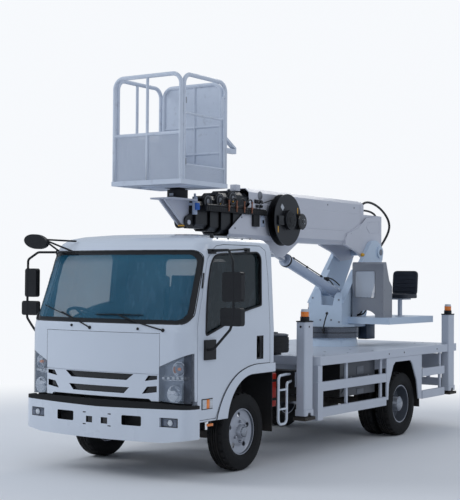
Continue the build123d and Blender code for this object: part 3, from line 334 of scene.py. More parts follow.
# Windscreen in metres: half its width at the foot and how fast that narrows upwards; its foot,
# middle and half its height; its corners' radius; the printed border; the foot of the darker band
SCREEN_HALF, SCREEN_TAPER = 0.943, 0.0556
SCREEN_FOOT, SCREEN_MIDDLE, SCREEN_RISE = 1.428, 1.77, 0.342
SCREEN_CORNER, SCREEN_BORDER, BAND_FOOT = 0.125, 0.042, 1.99


def windscreen_glass():
    """Blue laminated glass with its black printed border and darker top band."""
    finish = Finish("windscreen_glass", IOR=1.5, Specular_IOR_Level=0.5)
    y, z = finish.parts(finish.place())[1:]
    half = SCREEN_HALF - (z - SCREEN_FOOT) * SCREEN_TAPER
    beside = y.size() - (half - SCREEN_CORNER)
    above = (z - SCREEN_MIDDLE).size() - (SCREEN_RISE - SCREEN_CORNER)
    corner = (beside.most(0.0) ** 2.0 + above.most(0.0) ** 2.0) ** 0.5
    outside = corner + beside.most(above).least(0.0)
    border = (outside - SCREEN_CORNER + SCREEN_BORDER).over(0.0)
    band = ((z - BAND_FOOT) * 10.0).held()
    film = finish.noise(1.3, 4.0)
    tint = finish.mix(film, linear(44, 112, 148), linear(84, 142, 168))
    shaded = finish.mix(band, tint, linear(14, 88, 112))
    finish.put("Base Color", finish.mix(border, shaded, linear(6, 8, 14)))
    body = 0.3 + (film - 0.5) * 0.3 + band * 0.35
    finish.put("Alpha", (body + border).held())
    finish.put("Roughness", (0.03 + border * 0.22).held())
    return finish.material


# Height of the lower edge of the painted shade of the gap under the front panel, in the middle of the bumper,
# and its rise towards the sides
GAP_SHADE_FOOT, GAP_SHADE_RISE = 0.652, 0.018


def bumper_enamel():
    """White enamel of the bumper, with painted shade along its top standing in for the gap under the front
    panel.
    """
    finish = Finish("bumper_white", Coat_Roughness=0.08, Specular_IOR_Level=0.45)
    y, z = finish.parts(finish.place())[1:]
    # Painted shade: above this edge the bumper is near black, matte and without coat, for the shaded gap
    # under the front panel
    gap = (z - y.size() * GAP_SHADE_RISE - GAP_SHADE_FOOT).over(0.0)
    cloud = finish.noise(1.6, 4.0)
    dirt = road_dust(finish, 0.2)
    colour = colours().cab
    enamel = finish.mix(dirt, finish.mix(cloud, colour, dimmed(colour, 0.93)), ROAD_DUST)
    finish.put("Base Color", finish.mix(gap, enamel, linear(10, 11, 14)))
    finish.put("Roughness", (0.26 + (cloud - 0.5) * 0.12 + dirt * 0.4 + gap * 0.4).held())
    finish.put("Coat Weight", (0.5 - gap * 0.5).held())
    finish.bump(finish.noise(420.0, 1.0), 0.03)
    return finish.material


# Distance from the middle at which the head lamp's dark outer strip begins
LENS_STRIP = 0.905


def lamp_glass():
    """Clear lamp lens, darker over its outer strip."""
    finish = Finish("lamp_lens", IOR=1.5, Specular_IOR_Level=0.6)
    y = finish.parts(finish.place())[1]
    strip = (y.size() - LENS_STRIP).over(0.0)
    ribs = finish.noise(60.0, 1.0, finish.stretched((0.3, 1.0, 0.3)))
    clear = finish.mix(ribs, linear(176, 192, 212), linear(206, 216, 228))
    finish.put("Base Color", finish.mix(strip, clear, linear(48, 54, 66)))
    finish.put("Alpha", (0.20 + ribs * 0.08 + strip * 0.5).held())
    finish.put("Roughness", (0.03 + ribs * 0.03).held())
    return finish.material


def seat_film():
    """Seat cloth under its loose clear delivery cover, with painted sheen along the cover's creases."""
    finish = Finish("seat_film", Coat_Roughness=0.2, Specular_IOR_Level=0.6)
    fold = finish.noise(5.0, 3.0)
    crease = finish.noise(14.0, 2.0, finish.stretched((1.0, 1.0, 0.35)))
    # Painted sheen: the creases of the clear cover are coloured lighter
    painted_crease_sheen = ((crease - 0.5) * 5.0).held()
    finish.put("Base Color", finish.mix(painted_crease_sheen, linear(44, 52, 66), linear(128, 146, 168)))
    finish.put("Roughness", (0.25 + fold * 0.3).held())
    finish.put("Coat Weight", (0.3 + fold * 0.3).held())
    finish.bump(crease, 0.5, 0.008)
    return finish.material


def seat_leather():
    """Black moulded seat cover with a fine grain."""
    finish = Finish("seat_leather", Specular_IOR_Level=0.45)
    grain = finish.noise(160.0, 3.0)
    cloud = finish.noise(5.0, 3.0)
    finish.put("Base Color", finish.mix(cloud, linear(22, 26, 36), linear(40, 46, 58)))
    finish.put("Roughness", (0.5 + (grain - 0.5) * 0.3).held())
    finish.bump(grain, 0.35, 0.001)
    return finish.material


def galvanised():
    """Silver-grey sprayed tube and sheet, mottled with thin spots."""
    finish = Finish("basket_grey", Coat_Roughness=0.2, Metallic=0.1)
    spot = finish.noise(16.0, 6.0)
    cloud = finish.noise(2.0, 3.0)
    base = finish.mix(cloud, linear(220, 226, 236), linear(204, 212, 226))
    finish.put("Base Color", finish.mix(((spot - 0.58) * 3.0).held(), base, linear(184, 188, 198)))
    finish.put("Roughness", (0.42 + (spot - 0.5) * 0.3).held())
    finish.bump(finish.noise(220.0, 3.0), 0.12)
    return finish.material


# Share of the mesh's pitch that a wire takes
WIRE_SHARE = 0.42


def mesh_sheet():
    """Silver sheet of fine mesh: open between its wires."""
    finish = Finish("mesh_sheet", Metallic=0.3)
    pitch = bpy.context.scene.truck_sizes.mesh_pitch
    x, y, z = finish.parts(finish.place())
    cloud = finish.noise(3.0, 3.0)

    def gap(along):
        """1 between two wires, else 0."""
        return ((along / pitch).fraction() - WIRE_SHARE).over(0.0)

    hole = gap(x + y) * gap(z)
    finish.put("Base Color", finish.mix(cloud, linear(214, 220, 230), linear(198, 205, 219)))
    finish.put("Alpha", (1.0 - hole * 0.85).held())
    finish.put("Roughness", (0.45 + (cloud - 0.5) * 0.2).held())
    return finish.material


RECIPES = {
    "mesh_sheet": mesh_sheet,
    "cab_white": lambda: painted("cab_white", colours().cab, 0.22, 0.6, 0.12),
    "deck_white": lambda: painted("deck_white", colours().deck, 0.38, 0.25, 0.22, 0.06),
    "boom_white": lambda: painted("boom_white", colours().boom, 0.36, 0.3, 0.0, 0.06),
    "turret_white": lambda: painted("turret_white", colours().turret, 0.33, 0.35, 0.1, 0.06),
    "section_black": lambda: painted("section_black", linear(12, 14, 21), 0.42, 0.15, 0.0, 0.1),
    "chassis_black": lambda: cast("chassis_black", linear(17, 17, 20)),
    "bumper_white": bumper_enamel,
    "lamp_lens": lamp_glass,
    "lamp_dark": lambda: chromed("lamp_dark", linear(138, 146, 160), 0.3),
    "black_plastic": lambda: moulded("black_plastic", linear(12, 13, 17)),
    "gloss_black": lambda: painted("gloss_black", linear(8, 9, 13), 0.2, 0.4, 0.05, 0.01),
    "dark_trim": lambda: moulded("dark_trim", linear(44, 47, 56), 0.6, 0.0),
    "tyre_wall": lambda: rubber("tyre_wall", 0.5),
    "tyre_tread": lambda: rubber("tyre_tread", 1.5),
    "rim_silver": lambda: brushed("rim_silver", linear(186, 190, 200), 0.38, (1.0, 1.0, 1.0), 0.55),
    # Darker silver as painted shade for the rims' deeper parts
    "rim_painted_shade": lambda: brushed("rim_painted_shade", linear(104, 109, 118), 0.45, (1.0, 1.0, 1.0), 0.5),
    "windscreen": windscreen_glass,
    "side_glass": lambda: glazed("side_glass", linear(40, 54, 58), 0.5),
    "sheet_window": lambda: glazed("sheet_window", linear(208, 214, 224), 0.55, 0.12),
    "mirror": lambda: chromed("mirror_glass", linear(200, 208, 216), 0.03),
    "chrome": lambda: chromed("chrome_rod", linear(205, 208, 214), 0.09),
    "lamp_chrome": lambda: chromed("lamp_chrome", linear(120, 126, 138), 0.16),
    "bright_chrome": lambda: chromed("bright_chrome", linear(220, 224, 230), 0.08),
    "amber": lambda: plain_lens("amber_lens", linear(246, 132, 22), 0.12),
    "white_lens": lambda: plain_lens("white_lens", linear(212, 218, 226), 0.05),
    "steel": lambda: brushed("steel", linear(170, 174, 182), 0.24, (1.0, 1.0, 30.0)),
    "ring_steel": lambda: brushed("ring_steel", linear(112, 116, 124), 0.2, (1.0, 1.0, 30.0)),
    "bolt_steel": lambda: brushed("bolt_steel", linear(150, 152, 158), 0.4),
    "stainless": lambda: brushed("stainless", linear(168, 170, 176), 0.34, (1.0, 1.0, 90.0)),
    "seat_film": seat_film,
    "seat_leather": seat_leather,
    "locker_grey": lambda: painted("locker_grey", linear(72, 76, 84), 0.45, 0.15, 0.4, 0.08),
    "locker_plate": lambda: painted("locker_plate", linear(108, 112, 120), 0.45, 0.15, 0.3, 0.08),
    "cylinder_white": lambda: painted("cylinder_white", linear(178, 190, 210), 0.24, 0.5, 0.0),
    "cast": lambda: cast("cast_iron", linear(58, 56, 56)),
    "box_red": lambda: painted("box_red", linear(176, 42, 26), 0.35, 0.3, 0.3),
    "slate": lambda: painted("slate", linear(62, 74, 92), 0.4, 0.2, 0.0),
    "hose_rubber": lambda: moulded("hose_rubber", linear(16, 17, 20), 0.45, 0.0, 0.1),
    "copper": lambda: brushed("copper_clamp", linear(158, 108, 88), 0.4),
    "yellow": lambda: painted("yellow_paint", linear(228, 168, 20), 0.35, 0.3, 0.0),
    "valve_blue": lambda: painted("valve_blue", linear(24, 98, 190), 0.3, 0.4, 0.0),
    "pale_label": lambda: painted("pale_label", linear(186, 190, 196), 0.5, 0.0, 0.0),
    "basket_grey": galvanised,
}


def colours():
    """The colours that the user may set."""
    return bpy.context.scene.truck_colours


def finish(name):
    """The material of that finish, made when it is first asked for."""
    key = f"finish {name}"
    if key not in bpy.context.scene:
        bpy.context.scene[key] = RECIPES[name]().name
    return bpy.data.materials[bpy.context.scene[key]]


# Modelling

def deselect():
    """Leave edit mode and select nothing."""
    if bpy.context.object and bpy.context.object.mode != "OBJECT":
        bpy.ops.object.mode_set(mode="OBJECT")
    bpy.ops.object.select_all(action="DESELECT")


def only(piece):
    """Select one piece alone."""
    deselect()
    piece.select_set(True)
    bpy.context.view_layer.objects.active = piece


def edit(piece):
    """Open one piece in edit mode."""
    only(piece)
    bpy.ops.object.mode_set(mode="EDIT")


def leave():
    """Close edit mode."""
    bpy.ops.object.mode_set(mode="OBJECT")


def settle(piece):
    """Move the object's place into its mesh."""
    only(piece)
    bpy.ops.object.transform_apply(location=True, rotation=True, scale=True)
    return piece


def smooth(piece, angle=32):
    """Shade smooth, apart from edges sharper than an angle in degrees."""
    only(piece)
    bpy.ops.object.shade_smooth_by_angle(angle=radians(angle))
    return piece


def use(piece, kind, **settings):
    """Add a modifier with its settings and apply it."""
    only(piece)
    modifier = piece.modifiers.new(kind.lower(), kind)
    for setting, value in settings.items():
        setattr(modifier, setting, value)
    bpy.ops.object.modifier_apply(modifier=modifier.name)
    return piece


def select_faces(piece, test):
    """Select the faces whose middle and normal pass a test; leaves the piece in edit mode."""
    edit(piece)
    bpy.ops.mesh.select_mode(type="FACE")
    bpy.ops.mesh.select_all(action="DESELECT")
    mesh = bmesh.from_edit_mesh(piece.data)
    for face in mesh.faces:
        if test(face.calc_center_median(), face.normal):
            face.select = True
    mesh.select_flush_mode()
    bmesh.update_edit_mesh(piece.data)


def zone(piece, name, test):
    """Give the faces that pass a test a finish of their own."""
    material = finish(name)
    if material.name not in piece.data.materials:
        piece.data.materials.append(material)
    index = piece.data.materials.find(material.name)
    for face in piece.data.polygons:
        if test(face.center, face.normal):
            face.material_index = index


def slab(low, high, edge=3.0, steps=2):
    """Block between two corners with rounded edges."""
    deselect()
    low, high = Vector(low), Vector(high)
    bpy.ops.mesh.primitive_cube_add(size=1, location=(low + high) / 2)
    piece = bpy.context.object
    piece.scale = [abs(high[n] - low[n]) for n in range(3)]
    settle(piece)
    edit(piece)
    bpy.ops.mesh.select_all(action="SELECT")
    bpy.ops.mesh.bevel(offset=edge * MM, segments=steps, affect="EDGES")
    leave()
    return smooth(piece, 40)


def turned(profile, start, direction, sides=48, close=True):
    """Round form: rings of (radius, distance along), drawn out one after another from a circle."""
    deselect()
    first_radius, first_along = profile[0]
    bpy.ops.mesh.primitive_circle_add(vertices=sides, radius=first_radius * MM, fill_type="NOTHING",
                                      location=(0, 0, first_along * MM))
    piece = settle(bpy.context.object)
    edit(piece)
    bpy.ops.mesh.select_all(action="SELECT")
    radius, along = first_radius, first_along
    for next_radius, next_along in profile[1:]:
        bpy.ops.mesh.extrude_region_move(TRANSFORM_OT_translate={"value": (0, 0, (next_along - along) * MM)})
        share = next_radius / radius
        bpy.ops.transform.resize(value=(share, share, 1), center_override=(0, 0, next_along * MM))
        radius, along = next_radius, next_along
    if close:
        bpy.ops.mesh.edge_face_add()
        bpy.ops.mesh.select_mode(type="EDGE")
        bpy.ops.mesh.select_all(action="DESELECT")
        bpy.ops.mesh.select_non_manifold()
        bpy.ops.mesh.edge_face_add()
    bpy.ops.mesh.select_all(action="SELECT")
    bpy.ops.mesh.normals_make_consistent(inside=False)
    leave()
    turn = UP.rotation_difference(Vector(direction).normalized())
    piece.matrix_world = Matrix.Translation(start) @ turn.to_matrix().to_4x4()
    settle(piece)
    return smooth(piece, 35)


def bar(start, end, radius, sides=16, edge=1.5):
    """Round bar between two places with eased ends."""
    start, end = Vector(start), Vector(end)
    length = (end - start).length / MM
    profile = [(radius - edge, 0), (radius, edge), (radius, length - edge), (radius - edge, length)]
    return turned(profile, start, end - start, sides)


def curve_run(points, radius, sides, kind):
    """Curve along places, with a round section."""
    deselect()
    bpy.ops.curve.primitive_nurbs_path_add()
    piece = bpy.context.object
    piece.location = (0, 0, 0)
    curve = piece.data
    curve.splines.clear()
    spline = curve.splines.new(kind)
    spline.points.add(len(points) - 1)
    for point, place in zip(spline.points, points):
        point.co = (*place, 1)
    curve.bevel_depth = radius * MM
    curve.bevel_resolution = sides
    curve.dimensions = "3D"
    return piece


def as_mesh(piece, angle):
    """The curve made into a smooth mesh."""
    only(piece)
    bpy.ops.object.convert(target="MESH")
    return smooth(settle(bpy.context.object), angle)


def pipe(points, radius, order=3, sides=3, poly=False):
    """Hose, seal or bent rod along places, closed at its ends."""
    piece = curve_run(points, radius, sides, "POLY" if poly else "NURBS")
    piece.data.use_fill_caps = True
    if not poly:
        spline = piece.data.splines[0]
        spline.order_u = order
        spline.use_endpoint_u = True
        spline.resolution_u = 8
    return as_mesh(piece, 45)


def ring_pipe(points, radius, sides=3):
    """Seal round an opening: a closed run through places."""
    piece = curve_run(points, radius, sides, "POLY")
    piece.data.splines[0].use_cyclic_u = True
    return as_mesh(piece, 60)


def plate(outline, thickness, edge=1.0):
    """Flat form: a filled outline of places drawn out along a vector."""
    deselect()
    bpy.ops.mesh.primitive_circle_add(vertices=len(outline), radius=1, fill_type="NGON")
    piece = bpy.context.object
    for vertex, place in zip(piece.data.vertices, outline):
        vertex.co = place
    settle(piece)
    edit(piece)
    bpy.ops.mesh.select_all(action="SELECT")
    bpy.ops.mesh.extrude_region_move(TRANSFORM_OT_translate={"value": Vector(thickness)})
    bpy.ops.mesh.select_all(action="SELECT")
    bpy.ops.mesh.normals_make_consistent(inside=False)
    if edge:
        bpy.ops.mesh.bevel(offset=edge * MM, segments=1, affect="EDGES")
    leave()
    return smooth(piece, 30)


def twin(piece, matrix):
    """Copy of a piece with its own mesh, placed by a matrix."""
    copy = piece.copy()
    copy.data = piece.data.copy()
    bpy.context.scene.collection.objects.link(copy)
    copy.data.transform(matrix)
    if matrix.determinant() < 0:
        edit(copy)
        bpy.ops.mesh.select_all(action="SELECT")
        bpy.ops.mesh.flip_normals()
        leave()
    return copy


def across(piece):
    """The same piece on the truck's other side."""
    return twin(piece, Matrix.Scale(-1, 4, (0, 1, 0)))


def joined(pieces):
    """The pieces as one."""
    deselect()
    for piece in pieces:
        piece.select_set(True)
    bpy.context.view_layer.objects.active = pieces[0]
    if len(pieces) > 1:
        bpy.ops.object.join()
    return bpy.context.object


def paint(piece, name):
    """Give the whole piece one finish."""
    piece.data.materials.clear()
    piece.data.materials.append(finish(name))
    return piece


def done(piece, name, body, coat=None, stands_for=()):
    """Name a piece, give it a finish where one is given, let it ride on its body and hide the nodes that it
    stands for.
    """
    deselect()
    piece.name = name
    piece.data.name = name
    if coat:
        paint(piece, coat)
    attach(piece, body)
    if stands_for:
        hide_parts(*stands_for)
    return piece


def merged(node, angle=32, edge=0.0, simple=True):
    """Closed, smooth copy of a CAD node, its edges eased where an edge size is given."""
    source = frame["nodes"][node]
    piece = source.copy()
    piece.data = source.data.copy()
    bpy.context.scene.collection.objects.link(piece)
    piece.parent = None
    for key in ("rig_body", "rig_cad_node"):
        del piece[key]
    edit(piece)
    bpy.ops.mesh.select_all(action="SELECT")
    bpy.ops.mesh.remove_doubles(threshold=0.00002)
    if simple:
        bpy.ops.mesh.dissolve_limited(angle_limit=radians(0.4))
    leave()
    if edge:
        use(piece, "BEVEL", width=edge * MM, segments=2, limit_method="ANGLE", angle_limit=radians(38),
            use_clamp_overlap=True)
    smooth(piece, angle)
    use(piece, "WEIGHTED_NORMAL", mode="FACE_AREA", weight=50, keep_sharp=True)
    piece.data.materials.clear()
    return piece


def body_of(node):
    """Name of the body that a CAD node rides on."""
    return frame["nodes"][node]["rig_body"]


def dress(node, name, slot, coat, angle=32, edge=0.0, simple=True):
    """Merged copy of a node, finished, which stands for it."""
    piece = merged(node, angle, edge, simple)
    return done(piece, name, body_of(node), coat, (node,))


# Search trees of the nodes' meshes, each made when it is first asked for
SURFACES = {}


def hit(node, start, direction):
    """Place and normal where a line from outside meets a node's mesh, or None."""
    if node not in SURFACES:
        source = frame["nodes"][node]
        places = [source.matrix_world @ vertex.co for vertex in source.data.vertices]
        SURFACES[node] = BVHTree.FromPolygons(places, [face.vertices for face in source.data.polygons])
    place, normal, _, _ = SURFACES[node].ray_cast(Vector(start), Vector(direction).normalized())
    return (place, normal) if place else None


def rounded(points, radius, steps=8):
    """Loop of 2-D points with its corners rounded, by one radius or by one for each corner."""
    loop = []
    count = len(points)
    for n in range(count):
        corner = Vector(points[n])
        back = Vector(points[n - 1]) - corner
        onward = Vector(points[(n + 1) % count]) - corner
        size = radius if not isinstance(radius, (list, tuple)) else radius[n]
        size = min(size, back.length * 0.49, onward.length * 0.49)
        start = corner + back.normalized() * size
        end = corner + onward.normalized() * size
        for step in range(steps + 1):
            t = step / steps
            loop.append(start * (1 - t) ** 2 + corner * 2 * t * (1 - t) + end * t * t)
    return loop


def inside(point, outline):
    """Whether a 2-D point lies in an outline."""
    u, v = point
    odd = False
    for n in range(len(outline)):
        (u0, v0), (u1, v1) = outline[n - 1], outline[n]
        if (v0 > v) != (v1 > v) and u < (u1 - u0) * (v - v0) / (v1 - v0) + u0:
            odd = not odd
    return odd


# Sizes and colours that a user would change

def colour_of(label, what, red, green, blue):
    """Setting for a colour, with an 0 to 255 screen colour as its default."""
    return FloatVectorProperty(name=label, description=what, subtype="COLOR", size=4, min=0.0, max=1.0,
                               default=linear(red, green, blue))


class TruckColours(bpy.types.PropertyGroup):
    cab: colour_of("Cab", "Enamel of the cab, its doors and the bumper", 214, 221, 232)
    deck: colour_of("Deck", "Enamel of the deck, guards and legs", 196, 202, 214)
    boom: colour_of("Boom", "Enamel of the boom's base section", 204, 206, 216)
    turret: colour_of("Turret", "Enamel of the turret and its platform", 196, 212, 230)
    floor: colour_of("Floor", "Plain floor under the truck", 232, 233, 236)


class TruckSizes(bpy.types.PropertyGroup):
    seal: FloatProperty(name="Window seal", description="Radius of the rubber round the windscreen",
                        default=9 * MM, unit="LENGTH", subtype="DISTANCE")
    tread: FloatProperty(name="Tread depth", description="Depth of the cross grooves in the tyres",
                         default=9 * MM, unit="LENGTH", subtype="DISTANCE")
    mesh_pitch: FloatProperty(name="Basket mesh pitch",
                              description="Distance between the wires of the basket's sheets",
                              default=9 * MM, unit="LENGTH", subtype="DISTANCE")
    wheel_nuts: IntProperty(name="Wheel nuts", description="Nuts on each wheel", default=6, min=4, max=10)
    lens: FloatProperty(name="Lens", description="Focal length of the picture's camera",
                        default=87.916, min=10)


class TruckOperator(bpy.types.Operator):
    """Shared settings of the truck's operators."""
    bl_options = {"REGISTER", "UNDO"}

    def execute(self, context):
        self.build()
        deselect()
        return {"FINISHED"}


# Stage

CAMERA_PLACE = (11.8215, 7.361, 1.855)
CAMERA_YAW, CAMERA_PITCH, CAMERA_ROLL = radians(213.813), radians(1.6135), radians(0.40657)
CAMERA_REACH = 200.0
SENSOR_WIDTH = 36.0
FRAME_SHIFT = (0.00618, -0.01252)
# Lamps: name, place, size, power in watts, colour. The key lamp isn't mirrored in glass and metal.
LAMPS = (("key_lamp", (8.0, -9.0, 8.0), 6.0, 520.0, (0.92, 0.96, 1.0)),
         ("side_lamp", (1.0, 9.0, 9.5), 7.0, 130.0, (1.0, 0.98, 0.95)),
         ("back_lamp", (-9.0, -3.0, 9.0), 6.0, 260.0, (1.0, 0.97, 0.92)))
LAMP_AIM = Vector((0.3, 0.0, 1.4))
BACKDROP = (0.93, 0.95, 0.98, 1.0)
SKY, SKY_STRENGTH = (0.78, 0.87, 1.0, 1.0), 0.55
FLOOR_SIZE = 120
# Distance from the middle at which the floor starts to fade, and how long it takes
FADE_FROM, FADE_OVER = 3.6, 5.0


def place_camera(scene):
    """Camera that sees the truck as the picture does."""
    bpy.ops.object.camera_add(location=CAMERA_PLACE)
    camera = bpy.context.object
    camera.name = "picture_camera"
    forward = Vector((cos(CAMERA_YAW) * cos(CAMERA_PITCH), sin(CAMERA_YAW) * cos(CAMERA_PITCH),
                      sin(CAMERA_PITCH)))
    level = forward.cross(UP).normalized()
    upright = level.cross(forward)
    right = cos(CAMERA_ROLL) * level + sin(CAMERA_ROLL) * upright
    up = cos(CAMERA_ROLL) * upright - sin(CAMERA_ROLL) * level
    pose = Matrix((right, up, -forward)).transposed().to_4x4()
    pose.translation = CAMERA_PLACE
    camera.matrix_world = pose
    camera.data.lens = scene.truck_sizes.lens
    camera.data.sensor_width = SENSOR_WIDTH
    camera.data.shift_x, camera.data.shift_y = FRAME_SHIFT
    camera.data.clip_end = CAMERA_REACH
    scene.camera = camera


def fade_out(ground):
    """Let the floor pass into the backdrop with distance, for the camera only."""
    x, y = ground.parts(ground.place())[:2]
    away = (x * x + y * y) ** 0.5
    share = ((away - FADE_FROM) / FADE_OVER).held()
    eased = share * share * (3.0 - 2.0 * share)
    camera_ray = ground.node("ShaderNodeLightPath")
    glow = ground.node("ShaderNodeEmission", None, {"Color": BACKDROP})
    mixed = ground.node("ShaderNodeMixShader", None, {0: eased * camera_ray})
    ground.tree.links.new(ground.shader.outputs[0], mixed.socket.node.inputs[1])
    ground.tree.links.new(glow.socket, mixed.socket.node.inputs[2])
    output = ground.tree.nodes["Material Output"]
    ground.tree.links.new(mixed.socket, output.inputs["Surface"])


def lay_floor():
    """Plain pale floor."""
    bpy.ops.mesh.primitive_plane_add(size=FLOOR_SIZE, location=(0, 0, 0))
    floor = bpy.context.object
    floor.name = "floor"
    ground = Finish("pale_floor", Roughness=0.85, Specular_IOR_Level=0.2)
    grain = ground.noise(0.8, 5.0)
    colour = colours().floor
    ground.put("Base Color", ground.mix(grain, colour, dimmed(colour, 0.96)))
    fade_out(ground)
    floor.data.materials.append(ground.material)


def hang_lamps():
    """Round area lamps that look at the truck."""
    for name, place, size, power, colour in LAMPS:
        bpy.ops.object.light_add(type="AREA", location=place)
        lamp = bpy.context.object
        lamp.name = name
        lamp.data.shape = "DISK"
        lamp.data.size = size
        lamp.data.energy = power
        lamp.data.color = colour
        lamp.visible_glossy = name != "key_lamp"
        lamp.rotation_euler = (LAMP_AIM - Vector(place)).to_track_quat("-Z", "Y").to_euler()


def light_world(scene):
    """Soft sky as light, and the backdrop's colour where the camera sees it, also through glass."""
    world = bpy.data.worlds.new("studio")
    world.use_nodes = True
    scene.world = world
    tree = world.node_tree
    tree.nodes.clear()
    rays = tree.nodes.new("ShaderNodeLightPath")
    seen = tree.nodes.new("ShaderNodeMath")
    seen.operation = "MAXIMUM"
    tree.links.new(rays.outputs["Is Camera Ray"], seen.inputs[0])
    tree.links.new(rays.outputs["Is Transmission Ray"], seen.inputs[1])
    choice = tree.nodes.new("ShaderNodeMixShader")
    tree.links.new(seen.outputs[0], choice.inputs[0])
    for socket, colour, strength in ((1, SKY, SKY_STRENGTH), (2, BACKDROP, 1.0)):
        background = tree.nodes.new("ShaderNodeBackground")
        background.inputs["Color"].default_value = colour
        background.inputs["Strength"].default_value = strength
        tree.links.new(background.outputs[0], choice.inputs[socket])
    output = tree.nodes.new("ShaderNodeOutputWorld")
    tree.links.new(choice.outputs[0], output.inputs["Surface"])


class TRUCK_OT_stage(TruckOperator):
    """Camera, floor, lamps and world"""
    bl_idname = "truck.stage"
    bl_label = "Stage"

    def build(self):
        scene = bpy.context.scene
        deselect()
        place_camera(scene)
        lay_floor()
        hang_lamps()
        light_world(scene)
        scene.view_settings.view_transform = "Standard"


# Cab

# The windscreen and the front panel's slots, as y and z
SCREEN_OUTLINE = ((-943, 1428), (943, 1428), (905, 2112), (-905, 2112))
SLOTS = ([(410, 970), (332, 912), (-332, 912), (-410, 970)],
         [(363, 847), (305, 790), (-305, 790), (-363, 847)],
         [(566, 963), (658, 965), (658, 930), (530, 912)], [(554, 861), (655, 871), (655, 815), (503, 795)],
         [(-566, 963), (-658, 965), (-658, 930), (-530, 912)],
         [(-554, 861), (-655, 871), (-655, 815), (-503, 795)])
# Bumper openings in metres: y range on either side, z range, and how far ahead they reach
AIR_OPENING = (0.286, 0.509, 0.498, 0.592, 1.08)
FOG_OPENING = (0.692, 0.883, 0.503, 0.592, 1.0205)
TOW_OPENING = (0.05, 0.13, 0.497, 0.557, 1.095)
# The doors' handle pockets and windows, as x and z, and the radii of the window's corners
HANDLE_POCKET = ((-287, 1063), (-158, 1063), (-158, 1297), (-287, 1297))
DOOR_WINDOW = ((712, 1322), (690, 1551), (647, 1806), (589, 1990), (525, 2062), (440, 2080), (-225, 2110),
               (-278, 2060), (-252, 1593), (-215, 1586), (57, 1541), (411, 1412))
WINDOW_CORNERS = (40, 60, 60, 60, 40, 60, 60, 60, 12, 12, 60, 60)
# A door's face below its waist, the waist's height, and how much the door leans in above it
DOOR_FACE, WAIST, DOOR_LEAN = 965, 1410, 0.052
CAB_MIDDLE = at(300, 0, 1400)
# The rounded front in metres: how far its middle lies ahead of the axle, how far its corners
# stand back from that, and half its width
NOSE_AHEAD, NOSE_BEND, NOSE_HALF = 1.088, 0.107, 0.965
# The cab's front wall behind the front panel, painted black as the shade seen through the slots, in metres:
# half its width, foot and top
WALL_HALF, WALL_FOOT, WALL_TOP = 0.676, 0.735, 1.335


def within(point, outline, reach=2.5):
    """Whether a 2-D point lies in an outline or next to its edge."""
    u, v = point
    return any(inside((u + du, v + dv), outline) for du in (-reach, 0, reach) for dv in (-reach, 0, reach))


def end_view(place):
    """y and z of a place, in millimetres."""
    return place.y / MM, place.z / MM


def side_view(place):
    """x from the front axle and z of a place, in millimetres."""
    return (place.x - FRONT_AXLE) / MM, place.z / MM


def in_opening(place, near, far, low, high, ahead):
    """Whether a place of the bumper lies in an opening, behind the bumper's face."""
    return near < abs(place.y) < far and low < place.z < high and place.x < FRONT_AXLE + ahead


def faces_in(centre, normal):
    """Whether a face of the cab looks into the cab."""
    return normal.dot(centre - CAB_MIDDLE) < -0.01


def on_front_wall(centre, normal):
    """Whether a face of the cab is the front wall's."""
    return normal.x > 0.2 and abs(centre.y) < WALL_HALF and WALL_FOOT < centre.z < WALL_TOP


def nose_at(place):
    """Station of the rounded front at a place's distance from the middle plane."""
    return FRONT_AXLE + NOSE_AHEAD - NOSE_BEND * (place.y / NOSE_HALF) ** 2


class TRUCK_OT_cab_body(TruckOperator):
    """Cab shell, doors, front panel and bumper in enamel; the doors' openings blackened, and painted shade on
    the front wall, the panel's slots and back, and the bumper's openings and top
    """
    bl_idname = "truck.cab_body"
    bl_label = "Cab body"

    def build(self):
        shell = dress("cab_shell", "cab_body", "cab_white", "cab_white", 30, 0, False)
        zone(shell, "dark_trim", faces_in)
        # Painted shade: the front wall seen through the panel's slots is made black
        zone(shell, "black_plastic", on_front_wall)
        for word, side in SIDES:
            door = dress(f"door_{word}", f"{word}_door", "cab_white", "cab_white", 30, 0, False)
            zone(door, "dark_trim", lambda c, n: n.y * side < -0.3)
            zone(door, "gloss_black", lambda c, n: abs(n.y) < 0.6 and within(side_view(c), DOOR_WINDOW))
            zone(door, "gloss_black",
                 lambda c, n: c.y * side < 0.9645 and within(side_view(c), HANDLE_POCKET))
        panel = dress("front_panel", "front_lid_and_grille", "cab_white", "cab_white", 6, 0, False)
        # Painted shade: the slots' sunken faces are made black
        for outline in SLOTS:
            zone(panel, "gloss_black",
                 lambda c, n: c.x < nose_at(c) - 0.005 and within(end_view(c), outline))
        # Painted shade: the panel's back is made black
        zone(panel, "black_plastic", lambda c, n: n.x < -0.3)
        bumper = dress("bumper", "front_bumper", "bumper_grey", "bumper_white", 5, 0, False)
        # Painted shade: the sunken faces of the bumper's openings are made black
        zone(bumper, "gloss_black", lambda c, n: in_opening(c, *AIR_OPENING) and abs(n.x) < 0.7)
        for opening in (FOG_OPENING, TOW_OPENING):
            zone(bumper, "gloss_black", lambda c, n: in_opening(c, *opening))
        dress("dashboard", "dashboard_and_wheel", "dark_trim", "dark_trim", 35)
        dress("seats", "seats_in_covers", "seat_cover", "seat_film", 45, 30)


SEAL_INSET, SEAL_CORNER = 4, 103
# Wipers, as y and z: spindle, elbow, the arm's end and the blade's two ends
WIPERS = (((-108, 1382), (-300, 1450), (-505, 1512), ((-800, 1578), (-250, 1437))),
          ((709, 1377), (420, 1432), (190, 1505), ((-70, 1503), (470, 1507))))


